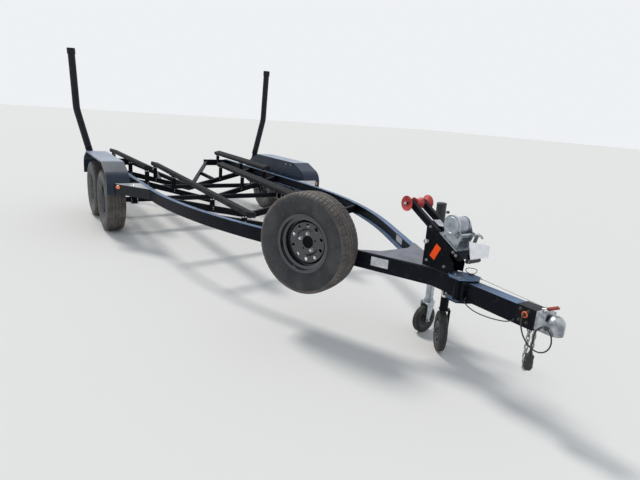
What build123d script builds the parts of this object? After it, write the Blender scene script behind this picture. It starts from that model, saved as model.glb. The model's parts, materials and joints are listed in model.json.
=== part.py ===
from build123d import *
import math
import os

# Boat trailer with two axles, standing on its jack. Millimetres.
# +Z is up, the coupler points to -Y, the tail to +Y, and the spare wheel is on the -X side.
# Places along Y are given from the front axle. SHIFT_Y then moves everything, so that the
# origin is on the ground below the middle of the trailer.

# Whole trailer
FRONT_TIP = -4570          # nose of the coupler
REAR_END = 1950            # rear ends of the outer bunks
SHIFT_Y = -(FRONT_TIP + REAR_END) / 2
STEEL = 6                  # wall of the rails

# Wheels: 205/75R14 on 14 inch steel wheels
AXLE_SPACING = 805
TYRE_R = 332
TYRE_W = 203
TYRE_X = 1156              # wheel centre plane from the centreline
BEAD_R = 178
RIM_SEAT = 66              # from the wheel's middle plane to the rim's flange
HUB_Z = TYRE_R
SPINDLE_R = 16
RUNNING = 0.05             # radial play of a shaft in its bore

# Side rails: channels, open inwards
RAIL_TOP = 586
RAIL_H = 102
RAIL_BOTTOM = RAIL_TOP - RAIL_H
RAIL_FLANGE = 45
RAIL_X = 945               # outer face beside the wheels
RAIL_REAR = 1900
BEND_Y = -806              # where the rails begin to curve inwards
BEND_R = 4589
BEND_DEG = 24.95

# Tongue: a fixed stub and a half that folds sideways on the hinge
TONGUE_W = 76
STUB_REAR = -3560
HINGE_Y = -3985
HINGE_GAP = 6
HINGE_R = 19
HINGE_X = -62
HINGE_PIN_R = 10
TONGUE_FRONT = -4440
PLATE_T = 8
PLATE_Z = RAIL_TOP + HINGE_GAP          # underside of the upper hinge plate
PLATE_LOW = RAIL_BOTTOM - HINGE_GAP     # top of the lower one

# Coupler for a 50.8 mm ball
BALL_R = 26
COUPLER_HALF = 42
BALL_Y = FRONT_TIP + COUPLER_HALF
COUPLER_LOW = 500
COUPLER_TOP = RAIL_TOP + 4
BALL_Z = COUPLER_LOW + 33

# Fenders: flat over both tyres, with a crease and a rolled end at each side
FENDER_TOP = 772
FENDER_IN = 1042
FENDER_OUT = 1268
FENDER_T = 4
FENDER_FRONT = -445
FENDER_CREASE = -145
FENDER_SLOPE = math.radians(20.6)
FENDER_LOW = 470
FENDER_SKIRT = 560
FENDER_R = 155

# V-shaped cross members
V_TABLE = (  # y, top at the centre
    (905, 323),
    (105, 307),
    (-1150, 375),
    (-1900, 404),
)
V_END = RAIL_TOP - 16      # top where the member meets the rail's web
V_H = 64
V_FLANGE = 38
V_T = 5
REAR_OPEN = 550            # the rear member leaves this much free on each side of the middle

# Bunks
BUNK_TABLE = (  # name, rear y, rear side offset, rear top, front y, front side offset, front top, tilt
    ("bunks_outer", REAR_END, 790, 710, 20, 743, 705.5, 15),
    ("bunks_inner", 940, 455, 646, -2040, 404, 578.5, 13),
)
BUNK_W = 96
BUNK_T = 46
POST_TABLE = (  # bunk row, y of the face that the bracket is bolted to
    (0, RAIL_REAR + 6), (0, 905), (0, 105), (1, 905), (1, 105), (1, -1150), (1, -1900),
)
POST_W, POST_T, POST_LAP = 50, 6, 50

# Guide posts
GUIDE_Y = 1345
GUIDE_R = 30
SLEEVE_R = 41
GUIDE_POINTS = ((RAIL_X, 535), (1130, 535), (1304, 1262), (1331, 1972))
GUIDE_BENDS = (90, 380)

# Bow stop and winch stand: the arms run down and forwards from the roller
ROLLER_Y, ROLLER_Z = -3540, 932
ARM_DEG = 28
ARM_L = 485
ARM_X = 45
ARM_W, ARM_S = 25, 38
DRUM_S, DRUM_UP = 332, 112
CRANK_S, CRANK_UP = 394, 77
CRANK_L = 176
CRANK_LEAN = math.radians(14.5)
CRANK_X = 112              # inner face of the crank's arm

# Jack with its caster, and the second leg with its wheel
JACK_X, JACK_Y = 290, -3468
JACK_TOP = 905
JACK_LOW = 346
JACK_R = 31
LEG_R = 27
CASTER_R, CASTER_W = 97, 42
CASTER_TRAIL = 28
CASTER_DEG = 184           # heading of the trail, from +X
FORK_TOP = 232
DOLLY_X, DOLLY_Y = 168, -3713
DOLLY_R, DOLLY_W = 128, 50
DOLLY_DEG = 52             # rolling direction, from +X
DOLLY_TOP = 592

# Spare wheel on the outside of the left leg
SPARE_ALONG = 325
SPARE_Z = 604
SPARE_OUT = 112

# Safety chains below the tongue
CHAIN_X, CHAIN_Y = 24, -4421
LINK_L, LINK_W, LINK_T = 34, 21, 5.5
LINKS = 7

# Cords on the folding half: the route of each as points, from where it leaves the tongue
HARNESS_D = 7
HARNESS_ROUTE = (
    (-42.7, -4395, 552), (-62, -4396, 549), (-76, -4400, 531), (-80, -4408, 500), (-78, -4426, 458),
    (-74, -4460, 422), (-69, -4504, 408), (-63, -4540, 424), (-58, -4557, 458), (-54, -4553, 496),
    (-52, -4534, 526), (-52, -4502, 534), (-52, -4476, 516), (-54, -4466, 482), (-55, -4465, 440),
    (-55, -4465, 402),
)
PLUG_R, PLUG_L = 21, 70
CABLE_D = 6
CABLE_ROUTE = (
    (-43.2, -4036, 500), (-58, -4040, 496), (-68, -4054, 486), (-66, -4082, 470), (-60, -4130, 458),
    (-56, -4190, 459), (-60, -4246, 468), (-66, -4294, 480), (-68, -4322, 490), (-58, -4336, 497),
    (-43.2, -4340, 500),
)
GLAND_TABLE = (  # y, height, radius of each bush in the tongue's left side
    (-4395, 552, 9), (-4036, 500, 7), (-4340, 500, 7),
)
GLAND_X = -42

BEND = math.radians(BEND_DEG)
LEG_Y = BEND_Y - BEND_R * math.sin(BEND)
LEG_X = RAIL_X - BEND_R * (1 - math.cos(BEND))
LEG_END_Y = LEG_Y - (LEG_X - TONGUE_W / 2) / math.tan(BEND)
ARM = math.radians(ARM_DEG)


def block(x0, x1, y0, y1, z0, z1):
    """Box between two corners."""
    return Pos((x0 + x1) / 2, (y0 + y1) / 2, (z0 + z1) / 2) * Box(x1 - x0, y1 - y0, z1 - z0)


def rod(a, b, r):
    """Round bar from point a to point b."""
    a, b = Vector(*a), Vector(*b)
    return extrude(Plane(origin=a, z_dir=(b - a).normalized()) * Circle(r), (b - a).length)


def plate_xy(points, z, t):
    face = make_face(Polyline(*[(x, y, z) for x, y in points], close=True))
    return extrude(face, t, dir=(0, 0, 1))


def plate_yz(points, x, t):
    face = make_face(Polyline(*[(x, y, z) for y, z in points], close=True))
    return extrude(face, t, dir=(1, 0, 0))


def plate_xz(points, y, t):
    face = make_face(Polyline(*[(x, y, z) for x, z in points], close=True))
    return extrude(face, t, dir=(0, 1, 0))


def bar(a, b, w, h, roll=0):
    """Rectangular bar, w across and h high, from point a to point b."""
    a, b = Vector(*a), Vector(*b)
    d = (b - a).normalized()
    side = Vector(0, 0, 1).cross(d)
    side = Vector(1, 0, 0) if side.length < 1e-6 else side.normalized()
    plane = Plane(origin=a, x_dir=side, z_dir=d)
    return extrude(plane * Rot(0, 0, roll) * Rectangle(w, h), (b - a).length)


def revolve_x(outline):
    """Ring about the X axis from a closed outline of (x, r) edges."""
    return revolve(make_face(outline), Axis.X, 360)


def lines(*points):
    """Closed outline in the XY plane, x along the axle and y as the radius."""
    return Polyline(*[(x, r) for x, r in points], close=True)


def mirror_x(shape):
    return mirror(shape, about=Plane.YZ)


def group(shapes):
    """Several solids that share one node."""
    flat = []
    for shape in shapes:
        flat += list(shape.solids())
    return Compound(children=flat)


def both(shape):
    return group([shape, mirror_x(shape)])


# Rails
def rail_x(y, inset=0):
    """Distance from the centreline to the rail's outer face at y, moved inwards by inset."""
    if y >= BEND_Y:
        return RAIL_X - inset
    if y >= LEG_Y:
        r = BEND_R - inset
        return RAIL_X - BEND_R + math.sqrt(r * r - (y - BEND_Y) ** 2)
    return LEG_X - inset / math.cos(BEND) - (LEG_Y - y) * math.tan(BEND)


def rail_line(inset):
    """Points of a line parallel to the rail's outer face, from the rear to the tongue."""
    r = BEND_R - inset
    cx = RAIL_X - BEND_R
    arc = [Vector(cx + r * math.cos(a), BEND_Y - r * math.sin(a)) for a in (0, BEND / 2, BEND)]
    return [Vector(RAIL_X - inset, RAIL_REAR), *arc, Vector(rail_x(LEG_END_Y, inset), LEG_END_Y)]


def rail_band(inset_a, inset_b, z, h):
    """Strip between two such lines, h high from z."""
    a, b = rail_line(inset_a), rail_line(inset_b)
    outline = [
        Line(a[0], a[1]), ThreePointArc(a[1], a[2], a[3]), Line(a[3], a[4]), Line(a[4], b[4]),
        Line(b[4], b[3]), ThreePointArc(b[3], b[2], b[1]), Line(b[1], b[0]), Line(b[0], a[0]),
    ]
    return extrude(Pos(0, 0, z) * make_face(outline), h, dir=(0, 0, 1))


def make_rail():
    rail = rail_band(0, STEEL, RAIL_BOTTOM, RAIL_H)
    rail += rail_band(0, RAIL_FLANGE, RAIL_TOP - STEEL, STEEL)
    rail += rail_band(0, RAIL_FLANGE, RAIL_BOTTOM, STEEL)
    half = TONGUE_W / 2
    return rail - block(-half, half, HINGE_Y, STUB_REAR, RAIL_BOTTOM - 1, RAIL_TOP + 1)


# Frame pieces between the rails
def between_rails(inset):
    """Space between the rails, inset from their outer faces."""
    a = rail_line(inset)
    b = [Vector(-p.X, p.Y) for p in a]
    outline = [
        Line(a[0], a[1]), ThreePointArc(a[1], a[2], a[3]), Line(a[3], a[4]), Line(a[4], b[4]),
        Line(b[4], b[3]), ThreePointArc(b[3], b[2], b[1]), Line(b[1], b[0]), Line(b[0], a[0]),
    ]
    return extrude(make_face(outline), 1000, dir=(0, 0, 1))


INSIDE = between_rails(STEEL)


def v_member(y, centre_top):
    """Channel that dips to the centreline, open to the rear, its ends inside the rails' webs."""
    x1 = rail_x(y)

    def slab(low, high, width):
        right = ((0, centre_top - low), (x1, V_END - low), (x1, V_END - high), (0, centre_top - high))
        half = plate_xz(right, y, width)
        return half + mirror_x(half)

    whole = slab(0, V_H, V_T) + slab(0, V_T, V_FLANGE) + slab(V_H - V_T, V_H, V_FLANGE)
    return whole & INSIDE


def make_rear_member():
    """Channel from each rail to the corner of its brace, open in the middle for the boat's stern."""
    x = RAIL_X - STEEL
    z0, z1 = RAIL_BOTTOM + STEEL, RAIL_TOP - STEEL
    web = block(REAR_OPEN, x, RAIL_REAR - V_T, RAIL_REAR, z0, z1)
    top = block(REAR_OPEN, x, RAIL_REAR - RAIL_FLANGE, RAIL_REAR, z1 - V_T, z1)
    low = block(REAR_OPEN, x, RAIL_REAR - RAIL_FLANGE, RAIL_REAR, z0, z0 + V_T)
    return both(web + top + low)


# Diagonal braces from the middle of the first cross member up to the rear member's corners
BRACE_Y0, BRACE_Y1 = V_TABLE[0][0] + 2, RAIL_REAR - V_T
BRACE_X0, BRACE_X1 = 40, 600
BRACE_Z0, BRACE_Z1 = 330, 545
BRACE_H, BRACE_W = 50, 38
STRUT_X, STRUT_FROM = 385, 0.5
STRUT_H, STRUT_W = 44, 30


def brace_line(t):
    """Point a share t along the brace's middle line."""
    return (
        BRACE_X0 + (BRACE_X1 - BRACE_X0) * t,
        BRACE_Y0 + (BRACE_Y1 - BRACE_Y0) * t,
        BRACE_Z0 + (BRACE_Z1 - BRACE_Z0) * t,
    )


def make_braces():
    y, centre_top = V_TABLE[0]
    long_bar = bar(brace_line(-0.1), brace_line(1.1), BRACE_W, BRACE_H)
    foot = (STRUT_X, y - 30, frame_top(STRUT_X, y) - V_H / 2)
    strut = bar(brace_line(STRUT_FROM), foot, STRUT_W, STRUT_H)
    window = block(5, 900, BRACE_Y0, BRACE_Y1, 0, 1000)
    return both((long_bar + strut) & window - v_member(y, centre_top))


GUSSET_REAR, GUSSET_MID, GUSSET_X = -3292, -3385, 117


def make_gusset():
    """Plate on both legs and the stub, cut back between the rails."""
    half = TONGUE_W / 2
    x = rail_x(GUSSET_REAR)
    front = HINGE_Y + PLATE_REAR
    right = [(GUSSET_X, GUSSET_MID), (x, GUSSET_REAR), (half, LEG_END_Y), (half, front)]
    left = [(-x, y) for x, y in reversed(right)]
    return plate_xy(right + left, RAIL_TOP, PLATE_T)


def box_tube(y0, y1, z0, h, t):
    w = TONGUE_W / 2
    outer = block(-w, w, y0, y1, z0, z0 + h)
    return outer - block(-w + t, w - t, y0 - 1, y1 + 1, z0 + t, z0 + h - t)


# Hinge plates: fixed to the stub on spacers, above and below the folding half
PULL_PIN_X = 60
PULL_PIN_Y = HINGE_Y + 14
PULL_PIN_R = 9
PLATE_REAR = 102
PLATE_TIP = (10, -4061)
PIN_PLACES = ((HINGE_X, HINGE_Y, HINGE_PIN_R), (PULL_PIN_X, PULL_PIN_Y, PULL_PIN_R))


def make_hinge_plates():
    half = TONGUE_W / 2
    rear = HINGE_Y + PLATE_REAR
    points = (
        (-half, rear), (-86, HINGE_Y + 45), (-86, HINGE_Y - 25), (-46, HINGE_Y - 52), PLATE_TIP,
        (84, HINGE_Y - 30), (84, HINGE_Y + 40), (half, rear),
    )
    plates = []
    for z, spacer_z in ((PLATE_Z, RAIL_TOP), (PLATE_LOW - PLATE_T, PLATE_LOW)):
        plate = plate_xy(points, z, PLATE_T)
        for x, y, r in PIN_PLACES:
            plate -= rod((x, y, z - 1), (x, y, z + PLATE_T + 1), r)
        plates.append(plate + block(-half, half, HINGE_Y + 3, rear, spacer_z, spacer_z + HINGE_GAP))
    return group(plates)


def pin(x, y, r, z0, z1, head_r, head_h):
    return rod((x, y, z0), (x, y, z1), r) + rod((x, y, z1), (x, y, z1 + head_h), head_r)


def make_pull_pin():
    """Pin with a ring, raised out of the folding half."""
    z1 = PLATE_Z + PLATE_T
    shape = pin(PULL_PIN_X, PULL_PIN_Y, PULL_PIN_R, PLATE_Z, z1, 15, 6)
    ring = Pos(PULL_PIN_X, PULL_PIN_Y, z1 + 6 + 16) * Rot(0, 90, 0) * Torus(15, 3)
    return shape + ring


def make_tongue():
    z0, z1 = RAIL_BOTTOM, RAIL_TOP
    half = TONGUE_W / 2
    tube = box_tube(TONGUE_FRONT, HINGE_Y - 3, z0, RAIL_H, 5)
    knuckle = rod((HINGE_X, HINGE_Y, z0), (HINGE_X, HINGE_Y, z1), HINGE_R)
    web = block(HINGE_X, -half, HINGE_Y - 45, HINGE_Y - 8, z0, z1)
    ear = block(half, 80, HINGE_Y - 30, PULL_PIN_Y + 18, z0, z1)
    ear += block(half, 80, HINGE_Y - 90, HINGE_Y - 30, z0 + 20, z1 - 20)
    shape = tube + knuckle + web + ear
    for x, y, r in PIN_PLACES:
        shape -= rod((x, y, z0 - 1), (x, y, z1 + 1), r + RUNNING)
    for y, z, r in GLAND_TABLE:
        shape += rod((-half + 1, y, z), (GLAND_X, y, z), r)
    return shape


# Coupler, wrapped around the front of the tongue, and its latch
CHEEK_T = 4
CHEEK_REAR = TONGUE_FRONT + 95
CORD_REST = (-4512, 523)   # peg that the harness hangs over


def make_coupler():
    half = COUPLER_HALF
    body = block(-half, half, BALL_Y, TONGUE_FRONT, COUPLER_LOW, COUPLER_TOP)
    body = body - block(-half, half, BALL_Y - 1, BALL_Y + 30, COUPLER_TOP - 30, COUPLER_TOP + 1)
    body += rod((0, BALL_Y, COUPLER_LOW), (0, BALL_Y, COUPLER_TOP - half), half)
    body += Pos(0, BALL_Y, COUPLER_TOP - half) * Sphere(half)
    body -= rod((0, BALL_Y, COUPLER_LOW - 1), (0, BALL_Y, BALL_Z), BALL_R)
    body -= Pos(0, BALL_Y, BALL_Z) * Sphere(BALL_R)
    for side in (-1, 1):
        x0, x1 = sorted((side * (half - CHEEK_T), side * half))
        body += block(x0, x1, TONGUE_FRONT - 1, CHEEK_REAR, COUPLER_LOW, COUPLER_TOP)
    body += block(-half, half, TONGUE_FRONT - 1, CHEEK_REAR, RAIL_TOP, COUPLER_TOP)
    for y, z, r in GLAND_TABLE:
        body -= rod((-half - 1, y, z), (0, y, z), r)
    return body + rod((-half + 2, *CORD_REST), (-half - 20, *CORD_REST), 4)


LATCH_Y = -4486


def make_latch():
    """Lever that leans forwards over the coupler's head."""
    post = block(-9, 9, LATCH_Y - 8, LATCH_Y + 16, COUPLER_TOP, COUPLER_TOP + 14)
    lever = bar((0, LATCH_Y + 14, COUPLER_TOP + 9), (0, LATCH_Y - 42, COUPLER_TOP + 46), 26, 9)
    return post + lever


# Safety chains and cords
def make_link():
    """Long ring that stands upright in the XZ plane."""
    ring = SlotOverall(LINK_L, LINK_W) - SlotOverall(LINK_L - 2 * LINK_T, LINK_W - 2 * LINK_T)
    return extrude(Plane.XZ * Rot(0, 0, 90) * ring, LINK_T / 2, both=True)


def make_chain(x):
    """Half ring below the tongue, links that are let into each other a little, and a hook."""
    z = RAIL_BOTTOM - 6
    shape = Pos(x, CHAIN_Y, z) * Rot(0, 90, 0) * Torus(11, 3) & block(x - 20, x + 20, -5000, 0, 0, RAIL_BOTTOM)
    pitch = LINK_L - 2 * LINK_T + 0.3
    link = make_link()
    z -= 8.3 + LINK_L / 2 - LINK_T
    for i in range(LINKS):
        shape += Pos(x, CHAIN_Y, z - i * pitch) * Rot(0, 0, 90 * (i % 2)) * link
    z -= (LINKS - 1) * pitch + LINK_L / 2
    shape += rod((x, CHAIN_Y, z + 1), (x, CHAIN_Y, z - 22), 3.5)
    bow = Pos(x, CHAIN_Y - 11, z - 22) * Rot(0, 90, 0) * Torus(11, 3.5)
    return shape + (bow & block(x - 20, x + 20, -5000, 0, 0, z - 22))


def make_cord(route, diameter):
    """Tube of straight runs with arcs as large as the runs allow."""
    points = [Vector(*p) for p in route]
    radii = []
    for a, b, c in zip(points, points[1:], points[2:]):
        turn = math.radians((b - a).get_angle(c - b))
        radii.append(0.45 * min((b - a).length, (c - b).length) / math.tan(turn / 2))
    path = FilletPolyline(*points, radius=radii)
    tube = sweep_circle(path, diameter / 2)
    section = math.pi * diameter ** 2 / 4
    print("cord", diameter, "mm, length", round(path.length), "radii", [round(r) for r in radii],
          "volume ratio", round(tube.volume / (section * path.length), 3))
    return tube


def make_plug():
    """Round plug with a tapered neck, hanging from the end of the harness."""
    x, y, z = HARNESS_ROUTE[-1]
    top = z - 26
    neck = Pos(x, y, (z + top) / 2) * Cone(13, HARNESS_D / 2 + 2, z - top)
    body = rod((x, y, top), (x, y, top - PLUG_L), PLUG_R)
    return neck + body + rod((x, y, top - PLUG_L), (x, y, top - PLUG_L - 6), PLUG_R - 4)


# Fenders and the steps ahead of them
def fender_front(inset):
    """Foot, start, middle and end of the arc, and crease, on a line inset below the top sheet."""
    slope = FENDER_SLOPE
    centre_y = FENDER_FRONT + FENDER_R
    centre_z = FENDER_TOP - (FENDER_R + math.sin(slope) * (FENDER_CREASE - centre_y)) / math.cos(slope)
    r = FENDER_R - inset
    arc = [(centre_y + r * math.cos(a), centre_z + r * math.sin(a))
           for a in (math.pi, (math.pi * 1.5 + slope) / 2, math.pi / 2 + slope)]
    crease = (FENDER_CREASE + inset * math.tan(slope / 2), FENDER_TOP - inset)
    return [(FENDER_FRONT + inset, FENDER_LOW), *arc, crease]


def fender_outline(inset):
    front = fender_front(inset)
    return front + [(AXLE_SPACING - y, z) for y, z in reversed(front)]


def fender_edges(points, x):
    p = [Vector(x, y, z) for y, z in points]
    return [Line(p[0], p[1]), ThreePointArc(*p[1:4]), Line(p[3], p[4]), Line(p[4], p[5]),
            Line(p[5], p[6]), ThreePointArc(*p[6:9]), Line(p[8], p[9])]


def fender_band(inset, x, t):
    """The sheet or lip that follows the fender's outline, inset deep and t wide."""
    a, b = fender_outline(0), fender_outline(inset)
    outline = fender_edges(a, x) + fender_edges(b, x)
    outline += [Line((x, *a[0]), (x, *b[0])), Line((x, *a[-1]), (x, *b[-1]))]
    return extrude(make_face(outline), t, dir=(1, 0, 0))


LIP = 14
BRACKET_Z = FENDER_SKIRT
BRACKET_TABLE = (FENDER_FRONT + 90, AXLE_SPACING / 2, AXLE_SPACING - FENDER_FRONT - 90)


def make_fender():
    """Top sheet with rolled ends, outer lip, inner skirt with two holes, and three brackets."""
    sheet = fender_band(FENDER_T, FENDER_IN, FENDER_OUT - FENDER_IN)
    lip = fender_band(LIP, FENDER_OUT - FENDER_T, FENDER_T)
    a = fender_outline(0)
    skirt_face = fender_edges(a, FENDER_IN) + [Line((FENDER_IN, *a[-1]), (FENDER_IN, *a[0]))]
    skirt = extrude(make_face(skirt_face), FENDER_T, dir=(1, 0, 0))
    skirt &= block(0, 2000, FENDER_FRONT, AXLE_SPACING - FENDER_FRONT, FENDER_SKIRT, FENDER_TOP)
    for y in (-60, 60):
        skirt -= rod((FENDER_IN - 1, y, 735), (FENDER_IN + FENDER_T + 1, y, 735), 9)
    shape = sheet + lip + skirt
    for y in BRACKET_TABLE:
        shape += block(RAIL_X, FENDER_IN + FENDER_T, y - 25, y + 25, BRACKET_Z, BRACKET_Z + 6)
        shape += block(RAIL_X, RAIL_X + 6, y - 25, y + 25, BRACKET_Z - 50, BRACKET_Z + 6)
    return shape


STEP_OUT = 1190
STEP_REAR = FENDER_FRONT - 7
STEP_CORNER = (STEP_OUT, -482)
STEP_TIP = (RAIL_X + 0.5, -850)
LAMP_L, LAMP_T, LAMP_H = 60, 18, 42


def make_step():
    """Open-bottomed gusset ahead of the fender: top, slanting front and outer plates."""
    t = 5
    full = plate_xy([(RAIL_X, STEP_REAR), (STEP_OUT, STEP_REAR), STEP_CORNER, STEP_TIP], RAIL_BOTTOM, RAIL_H)
    x, y = STEP_CORNER
    inner = [(RAIL_X - t, STEP_REAR + t), (x - t, STEP_REAR + t), (x - t, y + 3), (RAIL_X - t, STEP_TIP[1] + t)]
    return full - plate_xy(inner, RAIL_BOTTOM - 1, RAIL_H - t + 1)


def make_marker():
    """Oval lamp on the slanting front, near its outer end."""
    a, b = Vector(*STEP_CORNER), Vector(*STEP_TIP)
    d = (b - a).normalized()
    c = a + d * 40
    lamp = extrude(Plane.XZ * Ellipse(LAMP_L / 2, LAMP_H / 2), LAMP_T, dir=(0, 1, 0))
    return Pos(c.X, c.Y, RAIL_TOP - 28) * Rot(0, 0, math.degrees(math.atan2(d.Y, d.X))) * Pos(0, 0.2, 0) * lamp


# Axles, springs and hangers
SPRING_X = RAIL_X - 28
SPRING_HALF = 320
SPRING_SEAT = HUB_Z + 36
SPRING_RISE = 46
SPRING_W = 44
LEAF_T = 8
LEAF_TABLE = (110, 190, SPRING_HALF)       # half lengths from the lowest leaf up
EYE_R = 14
EYE_Z = SPRING_SEAT + 2 * (LEAF_T - 1) + SPRING_RISE + LEAF_T / 2
AXLE_R = 30


def make_axle(y):
    inner, end = TYRE_X - 147, TYRE_X - 25
    shape = rod((-inner, y, HUB_Z), (inner, y, HUB_Z), AXLE_R)
    shape += rod((-end, y, HUB_Z), (end, y, HUB_Z), SPINDLE_R)
    for side in (-1, 1):
        x = side * SPRING_X
        shape += block(x - 27, x + 27, y - 50, y + 50, HUB_Z + 22, SPRING_SEAT)
        shape += block(x - 27, x + 27, y - 40, y + 40, HUB_Z - 38, HUB_Z - 22)
    return shape


def make_leaf(x, y, half, low):
    """Leaf bent upwards to both ends, half long each way, with its middle at low."""
    rise = SPRING_RISE * (half / SPRING_HALF) ** 2
    a = [Vector(x - SPRING_W / 2, y + dy, z) for dy, z in ((-half, low + rise), (0, low), (half, low + rise))]
    b = [p + Vector(0, 0, LEAF_T) for p in a]
    outline = [ThreePointArc(*a), Line(a[2], b[2]), ThreePointArc(*b), Line(b[0], a[0])]
    return extrude(make_face(outline), SPRING_W, dir=(1, 0, 0))


def make_spring(x, y):
    """Three leaves on a flat pad, with an eye at each end of the longest."""
    half = SPRING_W / 2
    shape = block(x - half, x + half, y - 45, y + 45, SPRING_SEAT, SPRING_SEAT + 3 * LEAF_T)
    for i, length in enumerate(LEAF_TABLE):
        shape += make_leaf(x, y, length, SPRING_SEAT + i * (LEAF_T - 1))
    for dy in (-SPRING_HALF, SPRING_HALF):
        shape += rod((x - half, y + dy, EYE_Z), (x + half, y + dy, EYE_Z), EYE_R)
    return shape


def make_springs():
    return group([make_spring(side * SPRING_X, y) for side in (-1, 1) for y in (0, AXLE_SPACING)])


HANGER_TABLE = (  # rear and front y of each bracket
    (-SPRING_HALF - 22, -SPRING_HALF + 22),
    (SPRING_HALF - 24, AXLE_SPACING - SPRING_HALF + 24),
    (AXLE_SPACING + SPRING_HALF - 22, AXLE_SPACING + SPRING_HALF + 22),
)


def make_hangers():
    """Brackets below the rails, open downwards, that hold the eyes of the springs."""
    half = SPRING_W / 2 + 1
    low, high = EYE_Z - EYE_R - 4, RAIL_BOTTOM
    out = []
    for side in (-1, 1):
        x = side * SPRING_X
        for y0, y1 in HANGER_TABLE:
            cover = block(x - half - 5, x + half + 5, y0, y1, low, high)
            out.append(cover - block(x - half, x + half, y0 - 1, y1 + 1, low - 1, high - 6))
    return group(out)


# Wheels, built about the X axis with the outside towards +X
def make_tyre():
    half = TYRE_W / 2
    outline = [ThreePointArc((-78, 327), (0, TYRE_R), (78, 327)), Line((-66, 314), (66, 314))]
    for s in (-1, 1):
        outline += [
            ThreePointArc((s * 78, 327), (s * 88.5, 320), (s * 92, 306)),
            ThreePointArc((s * 92, 306), (s * half, 250), (s * 76, 203)),
            Line((s * 76, 203), (s * RIM_SEAT, 195)),
            Line((s * RIM_SEAT, 195), (s * RIM_SEAT, BEAD_R)),
            Line((s * RIM_SEAT, BEAD_R), (s * 54, BEAD_R)),
            Line((s * 54, BEAD_R), (s * 62, 203)),
            ThreePointArc((s * 62, 203), (s * (half - 14), 250), (s * 76, 302)),
            Line((s * 76, 302), (s * 66, 314)),
        ]
    return revolve_x(outline)


LUG_PCD = 114.3
DISC_HOLES = 10


def make_rim():
    seat, lip = RIM_SEAT, RIM_SEAT + 4
    barrel = revolve_x(lines(
        (-lip, 194), (-seat, 194), (-seat, BEAD_R), (-50, BEAD_R), (-40, 173), (-34, 157), (34, 157),
        (40, 173), (50, BEAD_R), (seat, BEAD_R), (seat, 194), (lip, 194), (lip, 173), (45, 169),
        (37, 152), (-37, 152), (-45, 169), (-lip, 173),
    ))
    disc = revolve_x(lines(
        (-5, 41), (-5, 82), (7, 94), (7, 128), (-8, 142), (-8, 153), (-2, 153), (-2, 146),
        (13, 132), (13, 90), (1, 78), (1, 41),
    ))
    shape = barrel + disc
    for i in range(DISC_HOLES):
        angle = 360 / DISC_HOLES * i
        shape -= Rot(angle, 0, 0) * rod((-20, 0, 112), (30, 0, 112), 12)
    return shape


def make_hub():
    """Hub with its flange, grease cap and five studs with nuts."""
    bore = SPINDLE_R + RUNNING
    shape = revolve_x(lines(
        (-74, bore), (-74, 34), (-20, 38), (-16, 70), (-5, 70), (-5, 40), (20, 36),
        (24, 31), (44, 29), (50, 24), (50, 0), (-22, 0), (-22, bore),
    ))
    for i in range(5):
        y, z = lug_place(i)
        shape += rod((-8, y, z), (20, y, z), 6)
        shape += rod((1, y, z), (17, y, z), 10)
    return shape


def lug_place(i):
    angle = math.radians(90 + 72 * i)
    return LUG_PCD / 2 * math.cos(angle), LUG_PCD / 2 * math.sin(angle)


def drill_lugs(rim):
    for i in range(5):
        y, z = lug_place(i)
        rim -= rod((-12, y, z), (8, y, z), 6.2)
    return rim


TYRE = make_tyre()
RIM = drill_lugs(make_rim())
HUB = make_hub()


def at_wheel(shape, side, y):
    turn = 0 if side > 0 else 180
    return Pos(side * TYRE_X, y, HUB_Z) * Rot(0, 0, turn) * shape


# Spare wheel and its carrier
SPARE_BASE = Vector(-LEG_X + SPARE_ALONG * math.sin(BEND), LEG_Y - SPARE_ALONG * math.cos(BEND))


def at_spare(shape):
    """Place a shape whose +X points away from the left leg, measured from the web's face."""
    return Pos(SPARE_BASE.X, SPARE_BASE.Y, SPARE_Z) * Rot(0, 0, 180 + BEND_DEG) * shape


def make_carrier():
    shape = block(0, 8, -90, 90, RAIL_BOTTOM - SPARE_Z, 70)
    shape += block(8, SPARE_OUT - 14, -45, 45, -45, 45)
    shape += rod((SPARE_OUT - 14, 0, 0), (SPARE_OUT - 5, 0, 0), 78)
    for i in (0, 1, 3):
        y, z = lug_place(i)
        shape += rod((SPARE_OUT - 8, y, z), (SPARE_OUT + 22, y, z), 6)
        shape += rod((SPARE_OUT + 1, y, z), (SPARE_OUT + 14, y, z), 10)
    return at_spare(shape)


# Bunks and their posts
def bunk_point(row, y):
    """Middle of a bunk at y."""
    _, rear, x_rear, z_rear, front, x_front, z_front, _ = BUNK_TABLE[row]
    t = (rear - y) / (rear - front)
    return Vector(x_rear + (x_front - x_rear) * t, y, z_rear + (z_front - z_rear) * t - BUNK_T / 2)


def bunk_slab(row, y0, y1, w, low, high):
    """Slab under or in a bunk, between two heights above its middle line."""
    a, b = bunk_point(row, y1), bunk_point(row, y0)
    d = (b - a).normalized()
    plane = Plane(origin=a, x_dir=Vector(0, 0, 1).cross(d).normalized(), z_dir=d)
    face = plane * Rot(0, 0, BUNK_TABLE[row][-1]) * Pos(0, (low + high) / 2) * Rectangle(w, high - low)
    return extrude(face, (b - a).length)


def make_bunk(row):
    rear, front = BUNK_TABLE[row][1], BUNK_TABLE[row][4]
    whole = bunk_slab(row, front - 20, rear + 20, BUNK_W, -BUNK_T / 2, BUNK_T / 2)
    return both(whole & block(0, 2000, front, rear, 0, 2000))


def frame_top(x, y):
    """Height of the cross member's top at a bunk bracket."""
    for v_y, centre in V_TABLE:
        if v_y == y:
            return centre + (V_END - centre) / rail_x(v_y) * x
    return RAIL_TOP - STEEL


SADDLE_W, SADDLE_HALF, SADDLE_T = 76, 30, 5


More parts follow.
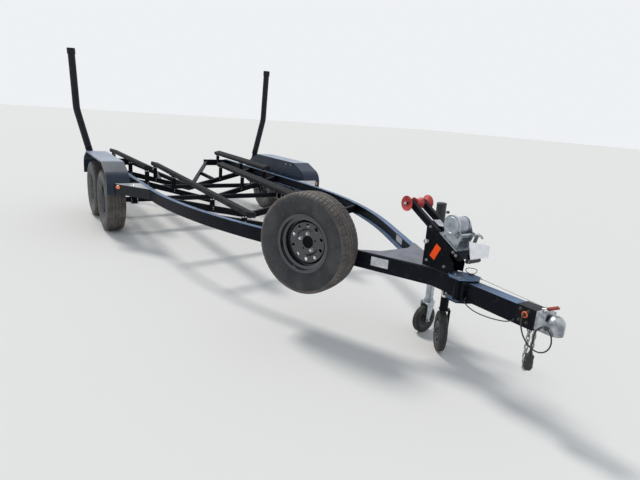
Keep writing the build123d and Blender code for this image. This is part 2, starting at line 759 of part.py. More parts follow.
def make_posts():
    """Upright plates bolted to the cross members, each with a saddle under its bunk."""
    out = []
    for row, y in POST_TABLE:
        c = bunk_point(row, y)
        low = frame_top(c.X, y) - POST_LAP
        under = -BUNK_T / 2 - SADDLE_T
        middle = y - POST_T / 2
        saddle = bunk_slab(row, middle - SADDLE_HALF, middle + SADDLE_HALF, SADDLE_W, under, -BUNK_T / 2)
        plate = block(c.X - POST_W / 2, c.X + POST_W / 2, y - POST_T, y, low, c.Z)
        over = bunk_slab(row, y - 90, y + 90, 2 * BUNK_W, under + 1, BUNK_T)
        out.append((plate - over) + saddle)
    return group([both(shape) for shape in out])


# Guide posts
def guide_path(start_t=None):
    p = [Vector(x, GUIDE_Y, z) for x, z in GUIDE_POINTS]
    if start_t is not None:
        p = [p[1] + (p[2] - p[1]) * start_t, p[2], p[3]]
        return FilletPolyline(*p, radius=GUIDE_BENDS[1])
    return FilletPolyline(*p, radius=list(GUIDE_BENDS))


def sweep_circle(path, r):
    return sweep(Plane(origin=path @ 0, z_dir=path % 0) * Circle(r), path=path)


def make_guide_arm():
    tube = sweep_circle(guide_path(), GUIDE_R)
    tube &= block(RAIL_X, 2000, 0, 3000, 0, GUIDE_POINTS[-1][1] - 20)
    foot = block(RAIL_X, RAIL_X + 8, GUIDE_Y - 45, GUIDE_Y + 45, RAIL_BOTTOM, RAIL_TOP)
    return tube + foot


def make_sleeve():
    path = guide_path(0.27)
    sleeve = sweep_circle(path, SLEEVE_R) - sweep_circle(path, GUIDE_R + 0.5)
    x, z = GUIDE_POINTS[-1]
    x0, z0 = GUIDE_POINTS[-2]
    d = Vector(x - x0, 0, z - z0).normalized()
    top = Vector(x, GUIDE_Y, z)
    cap = rod(tuple(top - d * 62), tuple(top + d * 6), SLEEVE_R + 6)
    return sleeve + (cap - sweep_circle(path, SLEEVE_R - 1)) + rod(tuple(top), tuple(top + d * 6), SLEEVE_R + 6)


# Bow stop and winch stand
def arm_point(s, up, x=0):
    """Point s down the arms from the roller and up square to them."""
    y = ROLLER_Y - s * math.cos(ARM) - up * math.sin(ARM)
    return (x, y, ROLLER_Z - s * math.sin(ARM) + up * math.cos(ARM))


def arm_plate(points, x, t):
    """Flat plate parallel to the YZ plane, from points along and square to the arms."""
    return plate_yz([arm_point(s, up)[1:] for s, up in points], x, t)


BOLT_X, BOLT_R = 97, 6
ARM_NOSE = 14              # how far the arms reach past the rollers' bolt


def make_arms():
    half = ARM_S / 2
    shape = None
    for side in (-1, 1):
        x = side * ARM_X - ARM_W / 2
        corners = ((-ARM_NOSE, -half), (ARM_L, -half), (ARM_L, half), (-ARM_NOSE, half))
        arm = arm_plate(corners, x, ARM_W)
        shape = arm if shape is None else shape + arm
    tie = ARM_X - ARM_W / 2
    for s0, s1, low in ((ARM_L - 60, ARM_L - 10, -half), (190, 230, half - 6)):
        shape += arm_plate(((s0, low), (s1, low), (s1, half), (s0, half)), -tie, 2 * tie)
    shape += rod((-BOLT_X, ROLLER_Y, ROLLER_Z), (BOLT_X, ROLLER_Y, ROLLER_Z), BOLT_R)
    for x in (-BOLT_X, BOLT_X - 6):
        shape += rod((x, ROLLER_Y, ROLLER_Z), (x + 6, ROLLER_Y, ROLLER_Z), 11)
    return shape


def make_rollers():
    """Spool between the arms and a bell outside each."""
    bore = BOLT_R + 0.4
    spool = revolve_x(lines((-27, bore), (-27, 34), (-14, 27), (14, 27), (27, 34), (27, bore)))
    bell = revolve_x(lines((63, bore), (63, 22), (70, 25), (84, 46), (89, 46), (80, 20), (80, bore)))
    turn = Rot(0, 0, 180)
    return group([Pos(0, ROLLER_Y, ROLLER_Z) * s for s in (spool, bell, turn * bell)])


STAND_FRONT, STAND_REAR = HINGE_Y + PLATE_REAR + 3, -3690
STAND_HALF, STAND_T = 42, 6
DECK = RAIL_TOP + PLATE_T


def arm_under(y):
    """Height of the underside of the arms at y."""
    s = (ROLLER_Y + ARM_S / 2 * math.sin(ARM) - y) / math.cos(ARM)
    return arm_point(s, -ARM_S / 2)[2]


def make_stand():
    """Two cheeks below the arms with a rear plate, on a foot that is welded to the gusset plate."""
    side = [(STAND_REAR, DECK), (STAND_FRONT, DECK), (STAND_FRONT, DECK + 10), (-3918, DECK + 14),
            (-3922, 664), (-3884, 702), (-3884, arm_under(-3884)), (STAND_REAR, arm_under(STAND_REAR))]
    outer = STAND_HALF + STAND_T
    shape = plate_yz(side, STAND_HALF, STAND_T) + plate_yz(side, -outer, STAND_T)
    shape += block(-STAND_HALF, STAND_HALF, STAND_REAR - 50, STAND_REAR - 44, DECK, DECK + 150)
    return shape + block(-outer, outer, STAND_FRONT, STAND_REAR, DECK, DECK + STAND_T)


REFLECTOR = ((-3784, 743), (-3821, 725), (-3780, 645), (-3743, 663))


def make_reflector():
    return plate_yz(REFLECTOR, -STAND_HALF - STAND_T - 4.2, 4)


# Winch
DRUM_SHAFT_R, CRANK_SHAFT_R = 8, 7


def make_winch_frame():
    """Base on the arms and two sides with the holes of both shafts, the left one with a gear cover."""
    base = ARM_S / 2
    shape = arm_plate(((290, base), (445, base), (445, base + 4), (290, base + 4)), -62, 124)
    side_line = ((304, base), (428, base), (416, 92), (404, 106), (362, 138), (306, 138), (296, 110))
    cover = rod(arm_point(DRUM_S, DRUM_UP, -66), arm_point(DRUM_S, DRUM_UP, -50), 55)
    shape += cover & arm_plate(((250, 30), (400, 30), (400, 180), (250, 180)), -66, 20)
    for x in (-50, 46):
        shape += arm_plate(side_line, x, 4)
    for s, up, r in ((DRUM_S, DRUM_UP, DRUM_SHAFT_R), (CRANK_S, CRANK_UP, CRANK_SHAFT_R)):
        shape -= rod(arm_point(s, up, -70), arm_point(s, up, 60), r + 0.4)
    return shape


def make_drum():
    r = DRUM_SHAFT_R
    shape = revolve_x(lines(
        (-64, 0), (-64, r), (-40, r), (-40, 46), (-37, 46), (-37, 34), (34, 34), (34, 46), (40, 46),
        (40, r), (58, r), (58, 0),
    ))
    return Pos(*arm_point(DRUM_S, DRUM_UP)) * shape


def crank_end(x):
    """Point on the grip's axis."""
    _, y, z = arm_point(CRANK_S, CRANK_UP)
    return (x, y + CRANK_L * math.sin(CRANK_LEAN), z - CRANK_L * math.cos(CRANK_LEAN))


def make_crank():
    shape = rod(arm_point(CRANK_S, CRANK_UP, -55), arm_point(CRANK_S, CRANK_UP, CRANK_X + 6), CRANK_SHAFT_R)
    shape += rod(arm_point(CRANK_S, CRANK_UP, CRANK_X - 6), arm_point(CRANK_S, CRANK_UP, CRANK_X + 10), 13)
    middle = CRANK_X + 3
    shape += bar(arm_point(CRANK_S, CRANK_UP, middle), crank_end(middle), 6, 22)
    shape += rod(crank_end(CRANK_X), crank_end(CRANK_X + 6), 11)
    return shape + rod(crank_end(CRANK_X + 6), crank_end(CRANK_X + 118), 5)


def make_grip():
    grip = revolve_x(lines((10, 5.3), (10, 12), (18, 14), (100, 13), (112, 11), (112, 5.3)))
    return Pos(*crank_end(CRANK_X)) * grip


# Jack
BRACKET_LOW, BRACKET_HIGH = RAIL_BOTTOM + 6, RAIL_TOP - 4


def rail_bracket(x, y, r):
    """Plate on the right rail's outer face, an arm and a collar of radius r about a post at x, y."""
    gap = (x - rail_x(y)) * math.cos(BEND)
    shape = block(-gap, -gap + 8, -60, 60, BRACKET_LOW, BRACKET_HIGH)
    shape += block(-gap, -r + 4, -22, 22, BRACKET_LOW + 12, BRACKET_HIGH - 12)
    shape += rod((0, 0, BRACKET_LOW), (0, 0, BRACKET_HIGH), r)
    return Pos(x, y, 0) * Rot(0, 0, -BEND_DEG) * shape


def make_jack():
    shape = rod((JACK_X, JACK_Y, JACK_LOW), (JACK_X, JACK_Y, JACK_TOP), JACK_R)
    shape += rail_bracket(JACK_X, JACK_Y, JACK_R + 8)
    shape += rod((JACK_X, JACK_Y, JACK_TOP - 60), (JACK_X + 62, JACK_Y, JACK_TOP - 64), 5)
    return shape - rod((JACK_X, JACK_Y, JACK_LOW - 1), (JACK_X, JACK_Y, JACK_TOP - 80), LEG_R)


LEG_TOP = 690


def make_jack_leg():
    shape = rod((JACK_X, JACK_Y, FORK_TOP), (JACK_X, JACK_Y, LEG_TOP), LEG_R - RUNNING)
    return shape + rod((JACK_X, JACK_Y, FORK_TOP), (JACK_X, JACK_Y, FORK_TOP + 8), LEG_R + 5)


def at_caster(shape):
    return Pos(JACK_X, JACK_Y, 0) * Rot(0, 0, CASTER_DEG) * shape


def make_fork():
    """Fork, built with its trail towards +X and the wheel's axle along Y."""
    z1 = FORK_TOP - 0.5
    top = z1 - 6
    shape = rod((0, 0, top), (0, 0, z1), LEG_R + 5)
    shape += block(-30, CASTER_TRAIL + 14, -34, 34, top - 5, top)
    leg = [(-30, top - 1), (CASTER_TRAIL + 14, top - 1), (CASTER_TRAIL + 14, CASTER_R - 12),
           (CASTER_TRAIL - 14, CASTER_R - 12)]
    shape += plate_xz(leg, 29, 5) + plate_xz(leg, -34, 5)
    shape += rod((CASTER_TRAIL, -40, CASTER_R), (CASTER_TRAIL, 40, CASTER_R), 6)
    return at_caster(shape)


def make_caster_wheel():
    half = CASTER_W / 2
    wheel = revolve_x(lines(
        (-23, 6.4), (-23, 14), (-12, 16), (-12, 62), (-half + 2, 66), (-half, CASTER_R - 10), (-half + 8, CASTER_R),
        (half - 8, CASTER_R), (half, CASTER_R - 10), (half - 2, 66), (12, 62), (12, 16), (23, 14), (23, 6.4),
    ))
    return at_caster(Pos(CASTER_TRAIL, 0, CASTER_R) * Rot(0, 0, 90) * wheel)


def at_dolly(shape):
    """Place a shape whose +Y is the rolling direction and whose wheel is at its origin."""
    return Pos(DOLLY_X, DOLLY_Y, 0) * Rot(0, 0, DOLLY_DEG - 90) * shape


POST_R = 26


def make_dolly_leg():
    """Post above the wheel, held by a bracket, with a one-sided leg that carries the axle."""
    low = 2 * DOLLY_R + 14
    half = DOLLY_W / 2
    shape = rod((0, 0, low), (0, 0, DOLLY_TOP), POST_R)
    shape += block(-POST_R, half + 16, -25, 25, low, low + 8)
    shape += block(half + 8, half + 16, -22, 22, DOLLY_R - 22, low + 8)
    shape += rod((-half - 16, 0, DOLLY_R), (half + 14, 0, DOLLY_R), 8)
    return at_dolly(shape) + rail_bracket(DOLLY_X, DOLLY_Y, POST_R + 6)


def make_dolly_wheel():
    half, r = DOLLY_W / 2, DOLLY_R
    wheel = revolve_x(lines(
        (-half - 5, 8.4), (-half - 5, 22), (-10, 26), (-10, 74), (-half + 2, 80), (-half, r - 16),
        (-half + 10, r), (half - 10, r), (half, r - 16), (half - 2, 80), (10, 74), (10, 26),
        (half + 2, 22), (half + 2, 8.4),
    ))
    return at_dolly(Pos(0, 0, r) * wheel)


# Lamps
def make_tail_lamps():
    return both(block(840, 925, RAIL_REAR, RAIL_REAR + 45, 500, 570))


# All nodes
def build_nodes():
    right = make_rail()
    nodes = {
        "rail_right": right,
        "rail_left": mirror_x(right),
        "v_crossmembers": group([v_member(y, z) for y, z in V_TABLE]),
        "rear_crossmember": make_rear_member(),
        "rear_braces": make_braces(),
        "gusset_plate": make_gusset(),
        "tongue_stub": box_tube(HINGE_Y + 3, STUB_REAR, RAIL_BOTTOM, RAIL_H, 5),
        "hinge_plates": make_hinge_plates(),
        "hinge_pin": pin(HINGE_X, HINGE_Y, HINGE_PIN_R, PLATE_LOW - PLATE_T - 6, PLATE_Z + PLATE_T, 14, 7),
        "pull_pin": make_pull_pin(),
        "tongue_fold": make_tongue(),
        "coupler": make_coupler(),
        "coupler_latch": make_latch(),
        "safety_chains": group([make_chain(side * CHAIN_X) for side in (-1, 1)]),
        "harness_cord": make_cord(HARNESS_ROUTE, HARNESS_D),
        "harness_plug": make_plug(),
        "safety_cable": make_cord(CABLE_ROUTE, CABLE_D),
        "axle_front": make_axle(0),
        "axle_rear": make_axle(AXLE_SPACING),
        "leaf_springs": make_springs(),
        "spring_hangers": make_hangers(),
        "fender_right": make_fender(),
        "fender_steps": both(make_step()),
        "marker_lamps": both(make_marker()),
        "tail_lamps": make_tail_lamps(),
        "spare_tyre": at_spare(Pos(SPARE_OUT, 0, 0) * TYRE),
        "spare_rim": at_spare(Pos(SPARE_OUT, 0, 0) * RIM),
        "spare_carrier": make_carrier(),
        "bunk_posts": make_posts(),
        "guide_arms": both(make_guide_arm()),
        "guide_sleeves": both(make_sleeve()),
        "bow_arms": make_arms(),
        "bow_rollers": make_rollers(),
        "winch_stand": make_stand(),
        "stand_reflector": make_reflector(),
        "winch_frame": make_winch_frame(),
        "winch_drum": make_drum(),
        "winch_crank": make_crank(),
        "crank_grip": make_grip(),
        "jack_tube": make_jack(),
        "jack_leg": make_jack_leg(),
        "caster_fork": make_fork(),
        "caster_wheel": make_caster_wheel(),
        "dolly_leg": make_dolly_leg(),
        "dolly_wheel": make_dolly_wheel(),
    }
    nodes["fender_left"] = mirror_x(nodes["fender_right"])
    for row, entry in enumerate(BUNK_TABLE):
        nodes[entry[0]] = make_bunk(row)
    for side, s in (("left", -1), ("right", 1)):
        for end, y in (("front", 0), ("rear", AXLE_SPACING)):
            nodes[f"tyre_{side}_{end}"] = at_wheel(TYRE, s, y)
            nodes[f"rim_{side}_{end}"] = at_wheel(RIM, s, y)
            nodes[f"hub_{side}_{end}"] = at_wheel(HUB, s, y)
    return nodes


def main():
    os.makedirs("parts", exist_ok=True)
    for old in os.listdir("parts"):
        os.remove(os.path.join("parts", old))
    for name, shape in build_nodes().items():
        export_step(Pos(0, SHIFT_Y, 0) * shape, f"parts/{name}.step")


main()
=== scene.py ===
import json
from math import atan2, copysign, cos, hypot, pi, radians, sin, sqrt, tan, tau

import bmesh
import bpy
from mathutils import Matrix, Vector, noise


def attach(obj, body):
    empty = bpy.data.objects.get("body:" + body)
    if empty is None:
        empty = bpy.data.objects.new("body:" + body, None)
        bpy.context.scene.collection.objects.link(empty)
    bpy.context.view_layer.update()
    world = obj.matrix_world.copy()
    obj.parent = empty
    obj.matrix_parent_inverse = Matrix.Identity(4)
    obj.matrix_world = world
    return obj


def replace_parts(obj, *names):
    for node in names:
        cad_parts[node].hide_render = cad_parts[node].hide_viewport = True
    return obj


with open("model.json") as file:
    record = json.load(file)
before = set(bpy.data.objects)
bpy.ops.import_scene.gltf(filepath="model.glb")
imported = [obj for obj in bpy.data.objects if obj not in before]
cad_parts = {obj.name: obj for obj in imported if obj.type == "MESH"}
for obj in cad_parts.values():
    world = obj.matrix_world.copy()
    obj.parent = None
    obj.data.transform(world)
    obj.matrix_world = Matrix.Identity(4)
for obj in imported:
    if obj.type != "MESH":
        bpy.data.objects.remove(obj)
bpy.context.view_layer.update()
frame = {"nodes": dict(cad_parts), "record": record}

# Boat trailer. Places are written in millimetres from the front axle, as in the CAD source, and
# at() turns them into metres in the shared frame.
SHIFT = 1310
SCENE = bpy.context.scene
SIDES = (-1, 1)     # left, right
ORIGIN, RIGHT, LEFT, UP, DOWN = (0, 0, 0), (1, 0, 0), (-1, 0, 0), (0, 0, 1), (0, 0, -1)
AHEAD, ASTERN = (0, -1, 0), (0, 1, 0)     # towards the coupler, towards the tail

# Driving dimensions, millimetres
TYRE_X, HUB_Z, AXLE_SPACING = 1156, 332, 805
RAIL_TOP, RAIL_X, RAIL_STEEL = 586, 945, 6
BEND_Y, BEND_R, BEND = -806, 4589, radians(24.95)
LEG_Y = BEND_Y - BEND_R * sin(BEND)
LEG_X = RAIL_X - BEND_R * (1 - cos(BEND))
V_TABLE = {905: 323, 105: 307, -1150: 375, -1900: 404}     # y of each V member: height at its middle
V_END = RAIL_TOP - 16
BUNK_W, BUNK_T = 96, 46
BUNKS = (  # node, rear y, side, top, front y, side, top, tilt in degrees
    ("bunks_outer", 1950, 790, 710, 20, 743, 705.5, 15),
    ("bunks_inner", 940, 455, 646, -2040, 404, 578.5, 13),
)
POSTS = (  # row of BUNKS, y
    (0, 1906), (0, 905), (0, 105), (1, 905), (1, 105), (1, -1150), (1, -1900),
)
ROLLER_Y, ROLLER_Z, ARM = -3540, 932, radians(28)
DRUM_S, DRUM_UP, CRANK_S, CRANK_UP = 332, 112, 394, 77
JACK_X, JACK_Y = 290, -3468
DOLLY_X, DOLLY_Y, DOLLY_R, DOLLY_DEG = 168, -3713, 128, 52
CASTER_R, CASTER_TRAIL, CASTER_DEG = 97, 28, 184
SPARE_ALONG, SPARE_Z, SPARE_OUT = 325, 604, 112
GUIDE_Y, GUIDE_FOOT, GUIDE_KNEE = 1345, (1130, 535), (1304, 1262)     # foot and knee: x, z
LUG_R, LUGS = 57.15, 5


def at(x, y, z):
    return Vector((x / 1000, (y + SHIFT) / 1000, z / 1000))


def add_object(name, data):
    obj = bpy.data.objects.new(name, data)
    SCENE.collection.objects.link(obj)
    return obj


def make_camera():
    """Camera of the photograph, from a fit to the wheels, rails, bunks and guide posts."""
    place = (-2.0776, -4.345, 1.4139)
    focal_px, width_px, sensor_mm = 482.3, 640, 36
    pitch, roll, yaw = 0.2555, 0.0725, 0.5812
    level = cos(pitch)
    ahead = Vector((sin(yaw) * level, cos(yaw) * level, -sin(pitch)))
    right = Vector((cos(yaw), -sin(yaw), 0))
    up = right.cross(ahead)
    x = right * cos(roll) + up * sin(roll)
    y = up * cos(roll) - right * sin(roll)
    data = bpy.data.cameras.new("camera")
    data.sensor_width = sensor_mm
    data.lens = focal_px * sensor_mm / width_px
    camera = add_object("camera", data)
    turn = Matrix((x, y, -ahead)).transposed().to_4x4()
    camera.matrix_world = Matrix.Translation(place) @ turn
    SCENE.camera = camera


make_camera()
SCENE.view_settings.view_transform = "Standard"


# Materials
def node(tree, kind, *outputs, **values):
    """Shader node, with outputs of other nodes on its first inputs and values on inputs by name."""
    made = tree.nodes.new("ShaderNode" + kind)
    for socket, output in zip(made.inputs, outputs):
        tree.links.new(output, socket)
    for key, value in values.items():
        made.inputs[key].default_value = value
    return made


def mixed(tree, factor, a, b):
    """Colour between a and b, each a colour or the output of a node."""
    mix = node(tree, "Mix")
    mix.data_type = "RGBA"
    tree.links.new(factor, mix.inputs[0])
    for socket, value in ((mix.inputs[6], a), (mix.inputs[7], b)):
        if isinstance(value, bpy.types.NodeSocket):
            tree.links.new(value, socket)
        else:
            socket.default_value = (*value, 1)
    return mix.outputs[2]


def ramp(tree, value, low, high, a=0.0, b=1.0):
    """Value from low to high, spread over a to b."""
    made = node(tree, "MapRange", value)
    for i, limit in enumerate((low, high, a, b)):
        made.inputs[i + 1].default_value = limit
    return made.outputs[0]


def maths(tree, operation, a, b):
    made = node(tree, "Math", a, b)
    made.operation = operation
    return made.outputs[0]


def coordinate(tree, vector, index):
    return node(tree, "SeparateXYZ", vector).outputs[index]


# Waves in the relief: direction, distortion
WAVES = {"ribs": ("X", 1.2), "bands": ("Z", 0.6), "weave": ("DIAGONAL", 0.0)}
COAT_ROUGH, RELIEF = 0.12, 0.002
EDGE_BLUR = 0.003     # metres over which one finish turns into another


def material(name, color, second, rough=0.5, metal=0.0, coat=0.0, scale=6, top=None, top_share=0.8,
             top_from=0.6, bump=0.15, grain=180, pattern="noise", grime=None, spec=0.5, behind=None):
    """Paint, metal, rubber or cloth: two tones, a top colour on upward faces (dust on some finishes, a
    painted sky reflection on the bluish paints), specks of grime, and bump.

    behind is a place along Y in metres, and the colour of the dark paint from there to the tail.
    """
    made = bpy.data.materials.new(name)
    made.use_nodes = True
    tree = made.node_tree
    shader = tree.nodes["Principled BSDF"].inputs
    shader["Metallic"].default_value = metal
    shader["Specular IOR Level"].default_value = spec
    shader["Coat Weight"].default_value = coat
    shader["Coat Roughness"].default_value = COAT_ROUGH
    where = node(tree, "TexCoord").outputs["Object"]

    def noise_at(size, detail=4, rough_detail=0.6):
        texture = node(tree, "TexNoise", where, Scale=size, Detail=detail, Roughness=rough_detail)
        return texture.outputs["Fac"]

    large = noise_at(scale)
    color_out = mixed(tree, ramp(tree, large, 0.4, 0.65), color, second)
    # Upward faces take the top colour: dust on some finishes, a painted sky reflection on the bluish
    # paints.
    if top is not None:
        normal = node(tree, "NewGeometry").outputs["Normal"]
        facing = ramp(tree, coordinate(tree, normal, 2), top_from, 0.99)
        cloudy = ramp(tree, noise_at(scale * 2.3), 0.3, 0.62, 0.55, 1)
        top_dust_and_sheen = maths(tree, "MULTIPLY", facing, cloudy)
        color_out = mixed(tree, ramp(tree, top_dust_and_sheen, 0, 1, 0, top_share), color_out, top)
    if grime is not None:
        specks = ramp(tree, noise_at(scale * 9, 6, 0.75), 0.56, 0.7, 0, 0.8)
        color_out = mixed(tree, specks, color_out, grime)
    if pattern == "spangle":
        cells = node(tree, "TexVoronoi", where, Scale=grain)
        tone = node(tree, "SeparateColor", cells.outputs["Color"])
        color_out = mixed(tree, ramp(tree, tone.outputs[0], 0, 1, 0, 0.45), color_out, second)
        rough_out = ramp(tree, tone.outputs[1], 0, 1, rough - 0.1, rough + 0.12)
    else:
        rough_out = ramp(tree, large, 0.3, 0.7, rough - 0.07, rough + 0.1)
    tree.links.new(rough_out, shader["Roughness"])
    if behind is not None:
        edge_y, dark = behind
        y = coordinate(tree, where, 1)
        color_out = mixed(tree, ramp(tree, y, edge_y, edge_y + EDGE_BLUR), color_out, dark)
        tree.links.new(ramp(tree, y, edge_y, edge_y + EDGE_BLUR, metal, 0), shader["Metallic"])
    tree.links.new(color_out, shader["Base Color"])
    if pattern in WAVES:
        direction, distortion = WAVES[pattern]
        wave = node(tree, "TexWave", where, Scale=grain, Distortion=distortion)
        wave.bands_direction = direction
        height = wave.outputs["Fac"]
    elif pattern == "prism":
        height = node(tree, "TexVoronoi", where, Scale=grain, Randomness=0.0).outputs["Distance"]
    else:
        height = noise_at(grain, 3)
    relief = node(tree, "Bump", Strength=bump, Distance=RELIEF)
    tree.links.new(height, relief.inputs["Height"])
    tree.links.new(relief.outputs["Normal"], shader["Normal"])
    return made


# The sky-blue top colour is a painted sky reflection on the upward faces.
FRAME_PAINT = material(
    "frame_paint_black", (0.004, 0.005, 0.009), (0.008, 0.010, 0.016), 0.42, spec=0.08, scale=3,
    top=(0.125, 0.19, 0.31), top_share=0.92, bump=0.12, grain=120, grime=(0.035, 0.034, 0.034))
# The blue-grey top colour is a painted sky reflection on the upward faces.
GUSSET_PAINT = material(
    "gusset_paint", (0.010, 0.012, 0.020), (0.020, 0.022, 0.032), 0.4, spec=0.3, scale=5,
    top=(0.15, 0.155, 0.20), top_share=0.9, grain=120, grime=(0.08, 0.075, 0.08))
# The pale blue top colour is a painted sky highlight on the flat upward faces.
FENDER_PAINT = material(
    "fender_paint_navy", (0.010, 0.020, 0.042), (0.016, 0.029, 0.056), 0.36, coat=0.1, spec=0.3,
    scale=3, top=(0.24, 0.30, 0.40), top_share=0.9, top_from=0.94, bump=0.08, grain=90,
    grime=(0.05, 0.055, 0.065))
STEP_PAINT = material(
    "step_paint", (0.006, 0.008, 0.012), (0.012, 0.014, 0.020), 0.42, spec=0.25, scale=5,
    top=(0.42, 0.43, 0.45), top_share=0.95, top_from=0.9, bump=0.5, grain=220,
    grime=(0.05, 0.05, 0.05))
# The bluish top colour is a painted sky reflection on the upward faces.
DARK_PAINT = material(
    "deep_black_paint", (0.003, 0.0035, 0.006), (0.007, 0.008, 0.012), 0.45, spec=0.08, scale=4,
    top=(0.03, 0.036, 0.05), top_share=0.5, grime=(0.028, 0.026, 0.024))
RIM_PAINT = material(
    "rim_gloss_black", (0.006, 0.009, 0.014), (0.013, 0.018, 0.026), 0.2, coat=1.0, scale=9,
    bump=0.06, grain=60, grime=(0.05, 0.046, 0.043))
SIDEWALL = material(
    "tyre_sidewall", (0.044, 0.044, 0.047), (0.074, 0.074, 0.077), 0.8, scale=7, spec=0.2,
    top=(0.12, 0.12, 0.12), top_share=0.35, bump=0.35, grain=260, grime=(0.12, 0.117, 0.112))
ROAD_SIDEWALL = material(
    "road_tyre_sidewall", (0.105, 0.105, 0.107), (0.165, 0.164, 0.164), 0.85, spec=0.3,
    bump=0.35, grain=260, grime=(0.22, 0.21, 0.20))
TREAD = material(
    "tyre_tread", (0.080, 0.072, 0.067), (0.145, 0.130, 0.120), 0.86, scale=11, bump=0.5,
    spec=0.3, top=(0.20, 0.175, 0.16), top_share=0.5, grain=240, grime=(0.24, 0.22, 0.20))
GALVANISED = material(
    "zinc_spangle", (0.32, 0.36, 0.40), (0.54, 0.58, 0.62), 0.36, metal=0.9, scale=10,
    bump=0.12, grain=55, pattern="spangle", grime=(0.20, 0.19, 0.17))
COUPLER_ZINC = material(
    "coupler_zinc", (0.22, 0.24, 0.27), (0.52, 0.55, 0.58), 0.33, metal=1.0, scale=22, spec=0.1,
    bump=0.3, grain=45, grime=(0.13, 0.12, 0.10), behind=(-3.142, (0.006, 0.007, 0.011)))
WORN_ZINC = material(
    "worn_zinc", (0.25, 0.26, 0.27), (0.42, 0.43, 0.43), metal=0.75, scale=14, bump=0.25,
    grain=150, grime=(0.13, 0.085, 0.05))
DARK_ZINC = material(
    "dark_zinc", (0.07, 0.065, 0.055), (0.14, 0.12, 0.09), 0.55, metal=0.6, scale=22,
    bump=0.25, grain=150, grime=(0.09, 0.05, 0.03))
BRIGHT = material(
    "bright_steel", (0.62, 0.63, 0.65), (0.8, 0.8, 0.8), 0.28, metal=0.95, scale=25, bump=0.08)
PALE_ZINC = material(
    "pale_zinc", (0.66, 0.62, 0.52), (0.80, 0.77, 0.70), 0.4, metal=0.5, scale=30, bump=0.1)
HUB_STEEL = material(
    "greased_steel", (0.035, 0.036, 0.038), (0.09, 0.088, 0.085), 0.45, metal=0.5, scale=20,
    bump=0.2, grime=(0.12, 0.10, 0.08))
RUST_STEEL = material(
    "spring_steel", (0.035, 0.026, 0.020), (0.11, 0.052, 0.028), 0.75, metal=0.3, scale=16,
    bump=0.5, grain=120)
CARPET = material(
    "bunk_carpet", (0.018, 0.018, 0.021), (0.036, 0.036, 0.040), 0.95, scale=9, spec=0.15,
    top=(0.05, 0.05, 0.056), top_share=0.6, bump=0.9, grain=95, pattern="ribs",
    grime=(0.09, 0.088, 0.085))
TIMBER = material("bunk_timber", (0.22, 0.15, 0.09), (0.30, 0.22, 0.14), 0.8, scale=12, bump=0.3)
SLEEVE_PLASTIC = material(
    "sleeve_plastic", (0.005, 0.005, 0.010), (0.011, 0.011, 0.019), scale=5, spec=0.25, bump=0.6,
    grain=8, pattern="bands", grime=(0.03, 0.03, 0.035))
BLACK_PLASTIC = material(
    "black_plastic", (0.012, 0.012, 0.013), (0.026, 0.026, 0.028), scale=20, bump=0.2,
    grain=300, grime=(0.06, 0.055, 0.05))
BLACK_PVC = material(
    "cord_sheath", (0.010, 0.010, 0.011), (0.024, 0.023, 0.023), 0.48, scale=30, grain=400)
GREY_PLASTIC = material("grey_plastic", (0.26, 0.27, 0.28), (0.36, 0.37, 0.38), scale=20)
RED_RUBBER = material(
    "faded_red_rubber", (0.42, 0.028, 0.026), (0.60, 0.075, 0.060), 0.42, coat=0.15, scale=14,
    top=(0.72, 0.24, 0.22), top_share=0.4, bump=0.2, grain=120, grime=(0.25, 0.03, 0.03))
RED_PAINT = material("red_handle", (0.28, 0.035, 0.026), (0.40, 0.085, 0.06), scale=30)
AMBER = material(
    "amber_lens", (1.0, 0.07, 0.0), (1.0, 0.10, 0.002), 0.3, coat=0.1, spec=0.25, scale=30,
    bump=0.45, grain=260, pattern="prism")
LAMP_AMBER = material(
    "lamp_amber", (0.80, 0.16, 0.02), (0.95, 0.30, 0.05), 0.2, coat=0.9, scale=30, bump=0.4,
    grain=260, pattern="prism")
LAMP_RED = material(
    "lamp_red", (0.40, 0.010, 0.012), (0.55, 0.030, 0.025), 0.2, coat=0.9, scale=30, bump=0.4,
    grain=220, pattern="prism")
WHEEL_RUBBER = material(
    "caster_rubber", (0.018, 0.018, 0.019), (0.05, 0.048, 0.046), 0.75, scale=20, bump=0.4,
    grime=(0.14, 0.13, 0.12))
WEBBING = material(
    "strap_webbing", (0.52, 0.52, 0.60), (0.72, 0.72, 0.78), 0.85, scale=40, bump=0.8,
    grain=260, pattern="weave", grime=(0.30, 0.29, 0.30))
PAPER = material(
    "white_paper", (0.93, 0.93, 0.95), (0.97, 0.97, 0.98), 0.6, scale=12, bump=0.2, grain=60)
STICKER = material(
    "blank_sticker", (0.55, 0.56, 0.58), (0.75, 0.75, 0.76), scale=30, bump=0.2,
    grime=(0.20, 0.19, 0.18))
ORANGE_PLASTIC = material(
    "orange_plastic", (0.75, 0.12, 0.02), (0.62, 0.17, 0.06), 0.4, scale=40, bump=0.1)

BY_SLOT = {
    "frame_paint": FRAME_PAINT, "fender_paint": FENDER_PAINT, "rim_paint": RIM_PAINT, "tyre": SIDEWALL,
    "galvanised": GALVANISED, "bright_steel": BRIGHT, "spring_steel": RUST_STEEL, "carpet": CARPET,
    "black_plastic": BLACK_PLASTIC, "grey_plastic": GREY_PLASTIC, "latch_red": RED_PAINT,
    "roller_red": RED_RUBBER, "amber": AMBER, "lamp_red": LAMP_RED, "caster_rubber": WHEEL_RUBBER,
}
BY_NODE = {
    "guide_sleeves": SLEEVE_PLASTIC, "gusset_plate": GUSSET_PAINT, "fender_steps": STEP_PAINT,
    "coupler": COUPLER_ZINC, "crank_grip": BLACK_PLASTIC,
}
BY_NODE |= dict.fromkeys((
    "winch_stand", "bow_arms", "axle_front", "axle_rear", "v_crossmembers", "rear_braces",
    "bunk_posts", "dolly_leg", "guide_arms", "spare_carrier"), DARK_PAINT)
